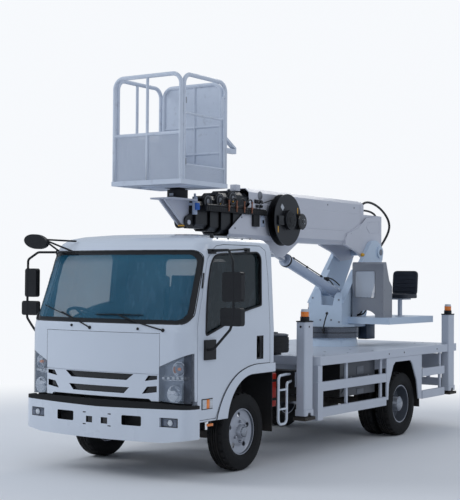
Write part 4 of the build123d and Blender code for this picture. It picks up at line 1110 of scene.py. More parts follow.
def on_screen(y, z, proud=0.0):
    """Place on the windscreen's outer face, or the front just under it, and the face's normal."""
    for node in ("cab_glass", "cab_shell"):
        found = hit(node, at(BEYOND, y, z), -AHEAD)
        if found and found[0].x > FRONT_AXLE + 0.6:
            return found[0] + found[1] * proud * MM, found[1]
    raise RuntimeError(f"no screen at {y}, {z}")


def screen_seal():
    """Rubber round the windscreen."""
    loop = rounded([(y * (1 - SEAL_INSET / 900), z + (SEAL_INSET if z < 1700 else -SEAL_INSET))
                    for y, z in SCREEN_OUTLINE], SEAL_CORNER, 8)
    sides = []
    for n, point in enumerate(loop):
        onward = loop[(n + 1) % len(loop)]
        steps = max(1, int((onward - point).length / 150))
        sides += [point.lerp(onward, step / steps) for step in range(steps)]
    places = [on_screen(y, z, 1.0)[0] for y, z in sides]
    return ring_pipe(places, bpy.context.scene.truck_sizes.seal / MM)


def wiper(pivot, elbow, end, blade):
    """Arm from its capped spindle to the middle of a blade on the glass."""
    foot, normal = on_screen(*pivot)
    cap = turned([(17, 0), (17, 7), (12, 12), (12, 15), (9, 16)], foot - normal * 0.003, normal, 20)
    arm = pipe([on_screen(*pivot, 7)[0], on_screen(*elbow, 30)[0], on_screen(*end, 26)[0]], 6.5, 3, 3)
    (y0, z0), (y1, z1) = blade
    along = [(y0 + (y1 - y0) * n / 8, z0 + (z1 - z0) * n / 8) for n in range(9)]
    rubber_edge = pipe([on_screen(y, z, 7)[0] for y, z in along], 4.5, poly=True)
    arch = [on_screen(y, z, 8 + 12 * sin(pi * n / 8))[0] for n, (y, z) in enumerate(along)]
    bow = pipe(arch, 4, poly=True)
    return [cap, arm, rubber_edge, bow]


class TRUCK_OT_glass(TruckOperator):
    """Windscreen with its seal and wipers, rear pane and door glass"""
    bl_idname = "truck.glass"
    bl_label = "Glass"

    def build(self):
        glass = dress("cab_glass", "windscreen_and_rear_pane", "clear_glass", "windscreen", 40, 0, False)
        zone(glass, "side_glass", lambda c, n: c.x < FRONT_AXLE)
        for word, _ in SIDES:
            dress(f"door_glass_{word}", f"{word}_door_glass", "clear_glass", "side_glass", 40, 0, False)
        done(screen_seal(), "windscreen_seal", "chassis", "gloss_black")
        arms = [part for row in WIPERS for part in wiper(*row)]
        done(joined(arms), "wipers", "chassis", "black_plastic")
        for word, side in SIDES:
            loop = rounded(DOOR_WINDOW, WINDOW_CORNERS, 4)
            places = [at(x, side * (DOOR_FACE - max(0, z - WAIST) * DOOR_LEAN), z) for x, z in loop]
            seal = ring_pipe(places, 9, 2)
            done(seal, f"{word}_window_seal", f"door_{word}", "black_plastic")


# Head lamps: (x, y, z) of each reflector's rim and its radius
REFLECTORS = ((972, 808, 800, 74), (944, 834, 1026, 62))
LAMP_AXIS = (1, 0.1, 0)
# Middle line of the strip of small lights, and half the size of one of them
STRIP = ((1008, 706, 944), (982, 800, 945), (948, 872, 946), (906, 916, 947))
STRIP_LIGHT = Vector((0.006, 0.012, 0.011))


class TRUCK_OT_lamps(TruckOperator):
    """Head lamps with reflectors, bulbs and clear lenses, and the small front and side lamps"""
    bl_idname = "truck.head_lamps"
    bl_label = "Head lamps"

    def build(self):
        self.head_lamps()
        self.fog_lamps()
        self.side_lamps()

    def head_lamps(self):
        """Lenses, reflectors, bulbs and strips of small lights."""
        housing = dress("headlamps", "head_lamp_lenses", "lamp", "lamp_lens", 25, 0, False)
        zone(housing, "lamp_dark",
             lambda c, n: n.dot(Vector((1, 0.45 * (1 if c.y > 0 else -1), 0))) < 0.25)
        bright, bulbs, strips = [], [], []
        for x, y, z, radius in REFLECTORS:
            rim = at(x, y, z)
            bright.append(turned([(14, -46), (34, -38), (radius * 0.8, -20), (radius, 0), (radius + 5, 2),
                                  (radius + 5, -2), (radius * 0.8 + 3, -24)], rim, LAMP_AXIS, 40, False))
            bright.append(turned([(10, -44), (12, -20), (9, -10), (4, -7)], rim, LAMP_AXIS, 20))
        bulbs.append(turned([(8, -30), (15, -16), (16, -6), (12, 4), (5, 8)], at(*REFLECTORS[1][:3]),
                            LAMP_AXIS, 20))
        for n in range(7):
            t = n / 6 * (len(STRIP) - 1.001)
            first, share = int(t), t - int(t)
            place = at(*STRIP[first]).lerp(at(*STRIP[first + 1]), share)
            strips.append(slab(place - STRIP_LIGHT, place + STRIP_LIGHT, 2))
        bright.append(pipe([at(x - 8, y, z - 18) for x, y, z in STRIP], 5, 3, 2))
        bright.append(pipe([at(x - 8, y, z + 18) for x, y, z in STRIP], 4, 3, 2))
        for parts, name, coat in ((bright, "lamp_reflectors", "bright_chrome"),
                                  (bulbs, "lamp_amber_bulbs", "amber"),
                                  (strips, "lamp_strips", "white_lens")):
            left = joined(parts)
            done(joined([left, across(left)]), name, "chassis", coat)

    def fog_lamps(self):
        """Round lamps in the bumper, with their frames."""
        fog, rims = [], []
        for _, side in SIDES:
            middle = at(1021, side * 800, 546)
            rims.append(turned([(36, 0), (36, 10), (30, 12), (29, 3)], middle, AHEAD, 32, False))
            rims.append(slab(at(1020, side * 704, 512), at(1026, side * 870, 583), 3))
            fog.append(turned([(29, 4), (27, 9), (16, 13), (4, 14)], middle, AHEAD, 32))
        done(joined(rims), "fog_lamp_frames", "chassis", "lamp_chrome")
        done(joined(fog), "fog_lamp_lenses", "chassis", "white_lens")

    def side_lamps(self):
        """Lamps on the doors and markers on the sills."""
        for word, side in SIDES:
            frame_plate = slab(at(595, side * 961, 650), at(772, side * 969, 749), 3)
            done(frame_plate, f"{word}_side_lamp_frame", f"door_{word}", "black_plastic")
            clear = [slab(at(603, side * 966, 658), at(650, side * 975, 741), 3),
                     slab(at(702, side * 966, 658), at(764, side * 975, 741), 3)]
            done(joined(clear), f"{word}_side_lamp", f"door_{word}", "white_lens")
            amber = slab(at(652, side * 966, 658), at(700, side * 974, 741), 3)
            done(amber, f"{word}_side_lamp_amber", f"door_{word}", "amber")
            marker = slab(at(560, side * 936, 488), at(650, side * 952, 512), 3)
            done(marker, f"{word}_sill_marker", "chassis", "amber")
            bracket = slab(at(572, side * 930, 500), at(600, side * 938, 546), 2)
            done(bracket, f"{word}_sill_marker_bracket", "chassis", "black_plastic")


class TRUCK_OT_cab_trim(TruckOperator):
    """Black backing of the grille as painted shade, handles, nozzles, roof lamp and the fittings of the front
    """
    bl_idname = "truck.cab_trim"
    bl_label = "Cab trim"

    def build(self):
        self.front()
        self.roof_and_screen()
        self.doors()

    def front(self):
        """Black sheets as painted shade behind the slots of the front panel and the bumper, with ribs and
        stays, and black slots painted on the bumper's face as their shade.
        """
        # Painted shade: black sheets behind the front panel's slots and under the panel
        backing = [slab(at(948, -650, 735), at(956, 650, 1010), 2),
                   slab(at(925, -880, 590), at(933, 880, 735), 2)]
        ribs = [slab(at(960, -430, z), at(974, 430, z + 7), 2) for z in (806, 826, 928, 946)]
        stays = [slab(at(956, y, 760), at(966, y + 8, 990), 2) for y in range(-600, 601, 120)]
        done(joined(backing + ribs + stays), "grille_shade_backing", "chassis", "black_plastic")
        # Painted shade: a black sheet behind the bumper's openings
        bumper_shade_backing = slab(at(958, -640, 470), at(964, 520, 625), 2)
        done(bumper_shade_backing, "bumper_shade_backing", "chassis", "black_plastic")
        # Painted shade: thin black slabs on the bumper stand for its slots
        slots = []
        for y, z in ((-150, 480), (150, 480), (-150, 590), (150, 590)):
            place = hit("bumper", at(BEYOND, y, z), -AHEAD)[0]
            slots.append(slab(place - Vector((0.002, 0.018, 0.005)),
                              place + Vector((0.0015, 0.018, 0.005)), 1))
        done(joined(slots), "bumper_slot_shade", "chassis", "gloss_black")

    def roof_and_screen(self):
        """Washer nozzles, the lamp on the roof and its plugs."""
        nozzles = []
        for y, z in ((-344, 1398), (446, 1384)):
            place, normal = on_screen(y, z)
            nozzles.append(turned([(13, -2), (13, 5), (9, 12), (5, 15)], place, normal, 16))
        roof = hit("cab_shell", at(444, 838, OVERHEAD), -UP)[0]
        nozzles.append(turned([(20, -4), (20, 16), (13, 34), (6, 37)], roof, UP, 20))
        for x, y in ((370, 852), (-235, 830), (180, 850), (-60, 850)):
            place = hit("cab_shell", at(x, y, OVERHEAD), -UP)[0]
            nozzles.append(turned([(9, -3), (9, 6), (5, 9)], place, UP, 16))
        done(joined(nozzles), "nozzles_and_roof_lamp", "chassis", "black_plastic")

    def doors(self):
        """Handles, vents on the pillars and hinges."""
        for word, side in SIDES:
            grip = pipe([at(-222, side * y, z) for y, z in
                         ((955, 1082), (966, 1100), (966, 1262), (955, 1280))], 11, 3, 3)
            done(grip, f"{word}_door_handle", f"door_{word}", "black_plastic")
            pillar = pipe([at(700, side * 928, 1900), at(722, side * 936, 1830), at(740, side * 941, 1760)],
                          8, 3, 3)
            done(pillar, f"{word}_pillar_vent", "chassis", "gloss_black")
            hinge = [bar(at(832, side * 964, z - 30), at(832, side * 964, z + 30), 7) for z in (760, 1290)]
            done(joined(hinge), f"{word}_door_hinges", "chassis", "cab_white")


# Mirror heads: y and z ranges of the upper and the lower mirror on each side
MIRROR_HEADS = {"left": (((1140, 1348), (1640, 1911)), ((1121, 1350), (1420, 1585))),
                "right": (((1140, 1290), (1650, 1940)), ((1130, 1330), (1465, 1610)))}
# How far the glasses and the ribs stay within their heads' edges
GLASS_MARGIN, RIB_MARGIN = 14, 18
OVAL_STEPS = 40


def oval(x, y, z, wide, high, turn):
    """Places of an upright oval that faces forwards, turned about its middle."""
    loop = []
    for n in range(OVAL_STEPS):
        angle = 2 * pi * n / OVAL_STEPS
        u, v = wide * cos(angle), high * sin(angle)
        loop.append(at(x, y + u * cos(turn) - v * sin(turn), z + u * sin(turn) + v * cos(turn)))
    return loop


class TRUCK_OT_mirrors(TruckOperator):
    """Door mirrors and the close-view mirror, with their glasses"""
    bl_idname = "truck.mirrors"
    bl_label = "Mirrors"

    def build(self):
        for word, side in SIDES:
            dress(f"mirrors_{word}", f"{word}_mirror_set", "black_plastic", "black_plastic", 40)
            glasses = [slab(at(644, min(side * y0, side * y1) + GLASS_MARGIN, z0 + GLASS_MARGIN),
                            at(648, max(side * y0, side * y1) - GLASS_MARGIN, z1 - GLASS_MARGIN), 1)
                       for (y0, y1), (z0, z1) in MIRROR_HEADS[word]]
            done(joined(glasses), f"{word}_mirror_glasses", f"door_{word}", "mirror")
            ribs = [slab(at(707, min(side * y0, side * y1) + RIB_MARGIN, (z0 + z1) / 2 - 2),
                         at(709.5, max(side * y0, side * y1) - RIB_MARGIN, (z0 + z1) / 2 + 2), 1)
                    for (y0, y1), (z0, z1) in MIRROR_HEADS[word]]
            done(joined(ribs), f"{word}_mirror_ribs", f"door_{word}", "black_plastic")
        dress("front_mirror", "close_view_mirror", "black_plastic", "black_plastic", 40)
        face = plate(oval(893, -985, 2205, 0.131, 0.057, radians(8)), (0.005, 0, 0), 1)
        done(face, "close_view_glass", "chassis", "mirror")


# Wheels

# Axle, side as a word and a sign, the axle's place and the middle planes of its tyres
WHEELS = (("front", "left", 1, 0, (827,)), ("front", "right", -1, 0, (827,)),
          ("rear", "left", 1, REAR_AXLE, (667, 893)), ("rear", "right", -1, REAR_AXLE, (667, 893)))
# Tyre half profile: radius and distance from the middle plane
TYRE_HALF = ((222.5, 70), (228, 80), (242, 88), (262, 93), (264, 95), (290, 96), (322, 93), (345, 86.5),
             (348, 87.5), (362, 82), (369, 74), (373, 62), (373.4, 46), (365, 44), (365, 37), (373.8, 35),
             (375, 16), (366, 14), (366, 7), (375, 5))
TREAD_STEPS = 84
# In metres: half the tread's middle, which has no cross grooves, and the radii beyond which these
# grooves and the tread's finish lie
MIDDLE_BAND, GROOVE_RADIUS, TREAD_RADIUS = 0.0445, 0.358, 0.366


def in_groove(centre, normal):
    """Whether a face of the plain tyre is to be a cross groove: each third step on both shoulders."""
    step = int(atan2(centre.z, centre.x) / (2 * pi) * TREAD_STEPS + TREAD_STEPS)
    radius = Vector((centre.x, centre.z)).length
    return abs(centre.y) > MIDDLE_BAND and radius > GROOVE_RADIUS and step % 3 == 0


def wheel_body(row, word):
    """Body of a front wheel, or of a rear pair."""
    return f"wheel_front_{word}" if row == "front" else f"wheels_rear_{word}"


class TRUCK_OT_wheels(TruckOperator):
    """Tyres with grooved treads, and silver rims"""
    bl_idname = "truck.wheels"
    bl_label = "Wheels"

    def build(self):
        depth = bpy.context.scene.truck_sizes.tread
        outline = list(TYRE_HALF) + [(r, -y) for r, y in reversed(TYRE_HALF)]
        tyre = turned([(r, -y) for r, y in outline], (0, 0, 0), LEFT, TREAD_STEPS, False)
        select_faces(tyre, in_groove)
        bpy.ops.mesh.extrude_region_shrink_fatten(TRANSFORM_OT_shrink_fatten={"value": -depth})
        leave()
        smooth(tyre, 28)
        paint(tyre, "tyre_wall")
        zone(tyre, "tyre_tread", lambda c, n: Vector((c.x, c.z)).length > TREAD_RADIUS)
        for row, word, side, x, planes in WHEELS:
            tyres = [twin(tyre, Matrix.Translation(at(x, side * plane, AXLE_HEIGHT))) for plane in planes]
            done(joined(tyres), f"{word}_{row}_tyre", wheel_body(row, word), None,
                 (f"tyre_{row}_{word}",))
            dress(f"rim_{row}_{word}", f"{word}_{row}_rim", "rim_silver", "rim_silver", 35, 0, False)
        bpy.data.objects.remove(tyre)


# Everything that keeps its solid's shape: (node, piece, slot, finish, smoothing angle, eased edge)
CHASSIS_DRESS = (
    ("frame_rails", "chassis_rails", "chassis_black", "chassis_black", 32, 2),
    ("crossmembers", "cross_tubes_and_leg_box", "chassis_black", "chassis_black", 32, 3),
    ("front_axle", "front_axle_beam", "cast", "cast", 32, 0),
    ("rear_axle", "rear_axle_case", "cast", "cast", 32, 0),
    ("driveline", "engine_and_shaft", "cast", "cast", 32, 6),
    ("fuel_tank", "fuel_tank_body", "chassis_black", "chassis_black", 32, 4),
    ("air_cleaner", "air_cleaner_drum", "black_plastic", "black_plastic", 32, 3),
    ("knuckle_left", "left_knuckle", "cast", "cast", 32, 0),
    ("knuckle_right", "right_knuckle", "cast", "cast", 32, 0),
    ("mudguards", "mudguard_liners", "black_plastic", "black_plastic", 32, 0),
    ("rear_bar", "rear_under_run_bar", "deck_white", "deck_white", 32, 4),
)
DECK_DRESS = (
    ("deck", "deck_plate", "deck_white", "deck_white", 32, 4),
    ("side_guards", "side_guard_rails", "deck_white", "deck_white", 32, 3),
    ("arch_panels", "rear_arch_panels", "deck_white", "deck_white", 32, 2),
    ("lockers", "tool_lockers", "locker_grey", "locker_grey", 32, 4),
    ("ladder", "access_ladder", "deck_white", "cab_white", 40, 0),
    ("rear_legs", "rear_leg_frame", "deck_white", "deck_white", 32, 2),
    ("front_leg_left", "left_front_leg", "deck_white", "deck_white", 32, 2),
    ("front_leg_right", "right_front_leg", "deck_white", "deck_white", 32, 2),
    ("jack_front_left", "left_front_jack", "chassis_black", "chassis_black", 32, 3),
    ("jack_front_right", "right_front_jack", "chassis_black", "chassis_black", 32, 3),
    ("jack_rear_left", "left_rear_jack", "chassis_black", "chassis_black", 32, 3),
    ("jack_rear_right", "right_rear_jack", "chassis_black", "chassis_black", 32, 3),
)
GEAR_DRESS = (
    ("pedestal", "pedestal_drum", "deck_white", "turret_white", 32, 0),
    ("turret", "turret_body", "boom_white", "turret_white", 32, 3),
    ("console", "console_hood", "stainless", "stainless", 32, 0),
    ("boom_base", "boom_base_section", "boom_white", "boom_white", 32, 3),
    ("hose_reel", "hose_reel_drum", "section_black", "section_black", 32, 0),
    ("boom_section_2", "second_section", "section_black", "section_black", 32, 2),
    ("boom_section_3", "third_section", "section_black", "section_black", 32, 2),
    ("boom_section_4", "fourth_section", "section_black", "section_black", 32, 2),
    ("boom_section_5", "fifth_section", "section_black", "section_black", 32, 2),
    ("lift_barrel", "lift_cylinder_barrel", "cylinder_white", "cylinder_white", 32, 0),
    ("lift_rod", "lift_cylinder_rod", "chrome_rod", "chrome", 32, 0),
    ("basket_mount", "basket_bracket", "boom_white", "boom_white", 32, 2),
    ("basket", "work_basket", "basket_grey", "basket_grey", 40, 0),
)


class TRUCK_OT_chassis(TruckOperator):
    """Frame, axles, tank and mudguards"""
    bl_idname = "truck.chassis"
    bl_label = "Chassis"

    def build(self):
        for row in CHASSIS_DRESS:
            dress(*row)


class TRUCK_OT_deck(TruckOperator):
    """Deck, guards, lockers, ladder and legs"""
    bl_idname = "truck.deck"
    bl_label = "Deck"

    def build(self):
        for row in DECK_DRESS:
            dress(*row)


class TRUCK_OT_boom_gear(TruckOperator):
    """Turret, station, boom, lift cylinder and basket"""
    bl_idname = "truck.boom_gear"
    bl_label = "Boom gear"

    def build(self):
        for row in GEAR_DRESS:
            dress(*row)


# Wheels' fittings: (row, place of the axle, circle of the nuts, cap's radius)
HUBS = (("front", 0, 96, 50), ("rear", REAR_AXLE, 118, 78))


def off_axle(centre, x):
    """Distance of a place from the axle's line."""
    return (centre - at(x, 0, AXLE_HEIGHT)).cross(LEFT).length


class TRUCK_OT_hubs(TruckOperator):
    """Nuts and caps of the wheels, and painted shade on the rims' deeper parts"""
    bl_idname = "truck.hubs"
    bl_label = "Wheel hubs"

    def build(self):
        count = bpy.context.scene.truck_sizes.wheel_nuts
        for row, x, circle, cap in HUBS:
            for word, side in SIDES:
                node = f"rim_{row}_{word}"
                outward = Vector((0, side, 0))
                parts = []
                for n in range(count):
                    turn = 2 * pi * (n + 0.5) / count
                    start = at(x + circle * cos(turn), BEYOND * side, AXLE_HEIGHT + circle * sin(turn))
                    foot = hit(node, start, -outward)[0]
                    parts.append(turned([(17, -2), (17, 3), (13, 3.5), (13, 20), (9, 24)], foot, outward, 6))
                face = hit(node, at(x, BEYOND * side, AXLE_HEIGHT), -outward)[0]
                parts.append(turned([(cap, -2), (cap, 6), (cap * 0.86, 16), (cap * 0.5, 22), (cap * 0.2, 24)],
                                    face, outward, 40))
                done(joined(parts), f"{word}_{row}_wheel_nuts", wheel_body(row, word), "steel")
                # Painted shade: the rims' barrels and the rear rims' dished part take the darker silver
                rim = bpy.data.objects[f"{word}_{row}_rim"]
                reach = 0.12 if row == "rear" else 0.15
                zone(rim, "rim_painted_shade", lambda c, n: (abs(n.y) < 0.75 and off_axle(c, x) > reach) or
                     (row == "rear" and 0.1 < off_axle(c, x) < 0.205 and abs(n.y) >= 0.75))


class TRUCK_OT_cab_rear(TruckOperator):
    """Red box, drum lid and fittings between cab and deck"""
    bl_idname = "truck.cab_rear"
    bl_label = "Behind the cab"

    def build(self):
        box = slab(at(-806, 560, 545), at(-600, 800, 890), 12, 3)
        done(box, "red_box", "chassis", "box_red")
        straps = [slab(at(-812, 556, z), at(-594, 806, z + 26), 2) for z in (610, 800)]
        straps.append(slab(at(-760, 330, 590), at(-650, 562, 640), 3))
        done(joined(straps), "red_box_straps", "chassis", "chassis_black")
        lid = turned([(139, 0), (146, 6), (146, 16), (120, 24), (40, 28), (36, 40), (12, 42)],
                     at(-780, 785, 1266), UP, 48)
        done(lid, "drum_lid", "chassis", "locker_grey")
        ribs = [turned([(151, z), (154, z + 4), (154, z + 8), (151, z + 12)], at(-780, 785, 1110), UP,
                       48, False) for z in (20, 60, 100)]
        done(joined(ribs), "drum_ribs", "chassis", "black_plastic")


# Heights in metres of the legs' caps, and of the amber and the clear part of their lamps
CAP_FOOT, AMBER_FOOT, CLEAR_FOOT = 1.4075, 1.462, 1.515


def leg_zones(piece):
    """Dark cap and lamp base, amber and clear lamp on top of each leg."""
    zone(piece, "black_plastic", lambda c, n: c.z > CAP_FOOT)
    zone(piece, "amber", lambda c, n: AMBER_FOOT < c.z < CLEAR_FOOT)
    zone(piece, "white_lens", lambda c, n: c.z > CLEAR_FOOT)


# Lighter panels on the lockers: x and z ranges
LOCKER_PLATES = (((-2455, -2294), (788, 877)), ((-2457, -2296), (566, 626)),
                 ((-2054, -1994), (778, 883)))
# Dimples in the deck's top and in its skirts, shown as black discs of painted shade
DIMPLE_X, DIMPLE_Y = (-1330, -1560, -2100, -2700, -4450, -4700), (-930, -640, 640, 930)
SKIRT_X = (-2900, -3300, -4240)
LEG_X = -1023


class TRUCK_OT_deck_trim(TruckOperator):
    """Leg lamps, locker panels and catches, and black discs of painted shade for the legs' holes and the
    deck's dimples
    """
    bl_idname = "truck.deck_trim"
    bl_label = "Deck fittings"

    def build(self):
        for name in ("rear_leg_frame", "left_front_leg", "right_front_leg"):
            leg_zones(bpy.data.objects[name])
        lockers = bpy.data.objects["tool_lockers"]
        zone(lockers, "chassis_black", lambda c, n: c.x > at(-2165, 0, 0).x)
        for word, side in SIDES:
            reach = 940 if side > 0 else 960
            plates = [slab(at(x0, side * (reach - 1), z0), at(x1, side * (reach + 5), z1), 3)
                      for (x0, x1), (z0, z1) in LOCKER_PLATES]
            done(joined(plates), f"{word}_locker_panels", "chassis", "locker_plate")
            catches = [slab(at(x - 12, side * (reach - 1), 740), at(x + 12, side * (reach + 12), 775), 3)
                       for x in (-2150, -2560)]
            catches.append(pipe([at(-1950, side * (reach + 4), 600), at(-2080, side * (reach + 4), 720)], 6,
                                poly=True))
            done(joined(catches), f"{word}_locker_catches", "chassis", "bolt_steel")
            place, normal = hit(f"front_leg_{word}", at(LEG_X + 400, side * 1006, 1360), -AHEAD)
            # Painted shade: thin black discs stand for the leg's holes
            holes = [turned([(13, -1), (13, 1.2), (9, 1.4)], place, normal, 24)]
            place, normal = hit(f"front_leg_{word}", at(LEG_X, side * BEYOND, 1360), (0, -side, 0))
            holes.append(turned([(11, -1), (11, 1.2), (8, 1.4)], place, normal, 24))
            done(joined(holes), f"{word}_leg_hole_shade", "chassis", "gloss_black")
        # Painted shade: thin black discs stand for the dimples
        dimples = [turned([(15, -1), (15, 1.2), (10, 1.4)], at(x, y, 1037), UP, 20)
                   for x in DIMPLE_X for y in DIMPLE_Y if (x, abs(y)) != (-4700, 930)]
        for _, side in SIDES:
            for x in SKIRT_X:
                dimples.append(turned([(11, -1), (11, 1.0), (8, 1.2)], at(x, side * 1045, 990),
                                      (0, side, 0), 16))
        done(joined(dimples), "deck_dimple_shade", "chassis", "gloss_black")


# From the boom gear's line: the slewing axis, and as x and z the boom's pivot and the lift
# cylinder's foot and lug, and the hose reel's middle
SLEW_X = -3310
BOOM_PIVOT = (-4190, 2200)
LIFT_FOOT = Vector((-3510, 1670))
LIFT_LUG = Vector((-1985, 2150))
LIFT_AXIS = (LIFT_LUG - LIFT_FOOT).normalized()
REEL_X, REEL_Z = -1785, 2513
# Bare steel of the slewing ring in metres: above the first height on the drum, and below the
# second and within a reach of the ring's middle on the turret
DRUM_RING, TURRET_RING, RING_REACH = 1.139, 1.2705, 0.372


def hose(places, radius, order=4, sides=3):
    """Hose along places given from the boom gear's line."""
    return pipe([gear(*place) for place in places], radius, order, sides)


def on_back(y, z, proud=0):
    """Place on the front of the operator's seat back, which leans backwards."""
    return gear(-4148 + proud - (z - 1650) * 0.095, y, z)


class TRUCK_OT_station(TruckOperator):
    """Ring, lever, hood window, controls, seat and the turret's fittings"""
    bl_idname = "truck.station"
    bl_label = "Operator's station"

    def build(self):
        self.ring()
        self.turret_sides()
        self.seat()
        self.hood()

    def ring(self):
        """The slewing ring's bare steel, seal and lock."""
        ring = bpy.data.objects["pedestal_drum"]
        zone(ring, "ring_steel", lambda c, n: c.z > DRUM_RING)
        body = bpy.data.objects["turret_body"]
        middle = gear(SLEW_X, 0, 1240)
        zone(body, "ring_steel", lambda c, n: c.z < TURRET_RING and (c - middle).length < RING_REACH)
        band = turned([(361.5, 0), (361.5, 8)], gear(SLEW_X, 0, 1262), UP, 96, False)
        use(band, "SOLIDIFY", thickness=0.0015, offset=1.0)
        done(band, "ring_seal", "turret", "gloss_black")
        line = turned([(361.2, 0), (361.2, 6)], gear(SLEW_X, 0, 1196), UP, 96, False)
        use(line, "SOLIDIFY", thickness=0.0012, offset=1.0)
        done(line, "ring_shadow_line", "chassis", "gloss_black")
        lever = [pipe([gear(-2941, 112, 1195), gear(-2941, 116, 1290), gear(-2941, 164, 1420)], 8, 3, 3),
                 slab(gear(-2968, 98, 1222), gear(-2934, 128, 1250), 3),
                 turned([(6, -18), (14, -14), (18, 0), (14, 14), (6, 18)], gear(-2941, 167, 1438),
                        (0, 0.3, 1), 24)]
        done(joined(lever), "slew_lock_lever", "turret", "gloss_black")

    def turret_sides(self):
        """Bolts, pin plates, side box and cap."""
        bolts = [turned([(12, -1), (12, 4), (8, 7)], gear(-3186, y, z), AHEAD, 6)
                 for y, z in ((-62, 1349), (91, 1353), (-200, 1330), (200, 1330), (-170, 1620), (195, 1600))]
        done(joined(bolts), "turret_bolts", "turret", "bolt_steel")
        pins = []
        for _, side in SIDES:
            pins.append(turned([(40, 0), (40, 6), (28, 10)], gear(BOOM_PIVOT[0], side * 258, BOOM_PIVOT[1]),
                               (0, side, 0), 36))
        for _, side in SIDES:
            pins.append(turned([(34, 0), (34, 5), (20, 9)], gear(LIFT_FOOT.x, side * 237, LIFT_FOOT.y),
                               (0, side, 0), 36))
        done(joined(pins), "pin_plates", "turret", "bolt_steel")
        box = slab(gear(-3895, 205, 1106), gear(-3668, 330, 1310), 8)
        done(box, "turret_side_box", "turret", "slate")
        cap = turned([(24, 0), (24, 22), (16, 30), (6, 33)], gear(-3772, 212, 2150), (0.5, 0.5, 0.8), 24)
        done(cap, "yellow_cap", "turret", "yellow")

    def seat(self):
        """The operator's seat on its post."""
        back_loop = rounded([(438, 1652), (780, 1652), (780, 1964), (438, 1964)], 58, 5)
        back = plate([on_back(y, z) for y, z in back_loop], (-0.036, 0, 0), 0)
        cushion_loop = rounded([(-4222, 434), (-3866, 434), (-3866, 772), (-4222, 772)], 60, 5)
        cushion = plate([gear(x, y, 1618) for x, y in cushion_loop], (0, 0, 0.056), 0)
        pads = []
        for pad in (back, cushion):
            use(pad, "BEVEL", width=13 * MM, segments=4, limit_method="ANGLE", angle_limit=radians(50))
            pads.append(smooth(pad, 60))
        for z in (1706, 1758, 1810, 1862, 1914):
            pads.append(pipe([on_back(y, z, 1) for y in (474, 540, 680, 744)], 4.5, 3, 2))
        for x in (-3930, -3990, -4050):
            pads.append(pipe([gear(x, 470, 1674.5), gear(x, 736, 1674.5)], 4, poly=True))
        done(joined(pads), "operator_seat_pads", "turret", "seat_leather", ("operator_seat",))
        post = [bar(gear(-4050, 600, 1389), gear(-4050, 600, 1606), 28, 28, 1),
                slab(gear(-4160, 500, 1600), gear(-3930, 700, 1619), 3),
                turned([(60, 0), (60, 8), (30, 12)], gear(-4050, 600, 1389), UP, 32)]
        done(joined(post), "operator_seat_post", "turret", "deck_white")

    def hood(self):
        """The hood's window and rivets, the levers and hoses in it."""
        pane = slab(gear(-3405, 309, 1633), gear(-3402.5, 572, 1947), 0.5, 1)
        done(pane, "hood_window", "turret", "sheet_window")
        edge_loop = rounded([(302, 1626), (579, 1626), (579, 1954), (302, 1954)], 26, 5)
        edge = ring_pipe([gear(-3399, y, z) for y, z in edge_loop], 3.5)
        done(edge, "hood_window_edge", "turret", "bolt_steel")
        rivets = [turned([(6, 0), (6, 2), (3.5, 4)], gear(-3400, y, z), AHEAD, 12)
                  for y in (284, 676) for z in (1440, 1580, 1760, 1900, 2020)]
        rivets += [turned([(6, 0), (6, 2), (3.5, 4)], gear(x, 692, z), LEFT, 12)
                   for x, z in ((-3430, 1460), (-3600, 1460), (-3430, 1720), (-3600, 1720), (-3440, 1980))]
        done(joined(rivets), "hood_rivets", "turret", "bolt_steel")
        knobs = []
        for y in range(330, 560, 46):
            knobs.append(bar(gear(-3500, y, 1598), gear(-3512, y, 1668), 5))
            knobs.append(turned([(5, -12), (11, -8), (13, 0), (10, 9), (4, 12)], gear(-3514, y, 1676),
                                UP, 16))
        knobs.append(slab(gear(-3545, 296, 1600), gear(-3436, 566, 1606), 2))
        done(joined(knobs), "control_levers", "turret", "black_plastic")
        hoses = [hose([(-3450, y, 1500), (-3460, y - 8, 1440), (-3480, y - 40, 1405),
                       (-3420, 225, 1398)], 9, 4, 3) for y in (330, 380, 430)]
        hoses.append(hose([(-3440, 262, 1400), (-3470, 205, 1450), (-3650, 190, 1700),
                           (-3900, 190, 2000), (-4060, 188, 2090)], 10, 4, 3))
        hoses.append(hose([(-3440, 240, 1400), (-3520, 190, 1460), (-3690, 188, 1720),
                           (-3930, 188, 2010)], 9, 4, 3))
        done(joined(hoses), "station_hoses", "turret", "hose_rubber")


# The rear ends of the boom's two boxes, as y and z
UPPER_BOX = ((160, 2672), (160, 2796), (116, 2840), (-116, 2840), (-160, 2796), (-160, 2672))
LOWER_BOX = ((-125, 2280), (125, 2280), (172, 2328), (172, 2673), (-172, 2673), (-172, 2328))
# The gusset plates' faces and the panels within them, as x and z
GUSSET = ((-3355, 2275), (-3355, 2332), (-3409, 2417), (-3687, 2492), (-3915, 2635), (-4333, 2668),
          (-4333, 2240), (-4262, 2135), (-4138, 2110), (-3875, 2086), (-3671, 2196))
PANEL = ((-3940, 2580), (-4262, 2600), (-4266, 2455), (-3995, 2445), (-3912, 2508))
CLAMP_X = (-730, -880, -1030, -1180)
# Boom sections with a pulley hub that shows: section, x, z and face
PULLEYS = ((2, -878, 2708, 164), (3, -672, 2675, 142), (4, -473, 2653, 122))


def on_lift(along, y, off):
    """Place beside the lift cylinder: along it from its foot, across, and off its axis upwards."""
    x, z = LIFT_FOOT + LIFT_AXIS * along + Vector((-LIFT_AXIS.y, LIFT_AXIS.x)) * off
    return gear(x, y, z)


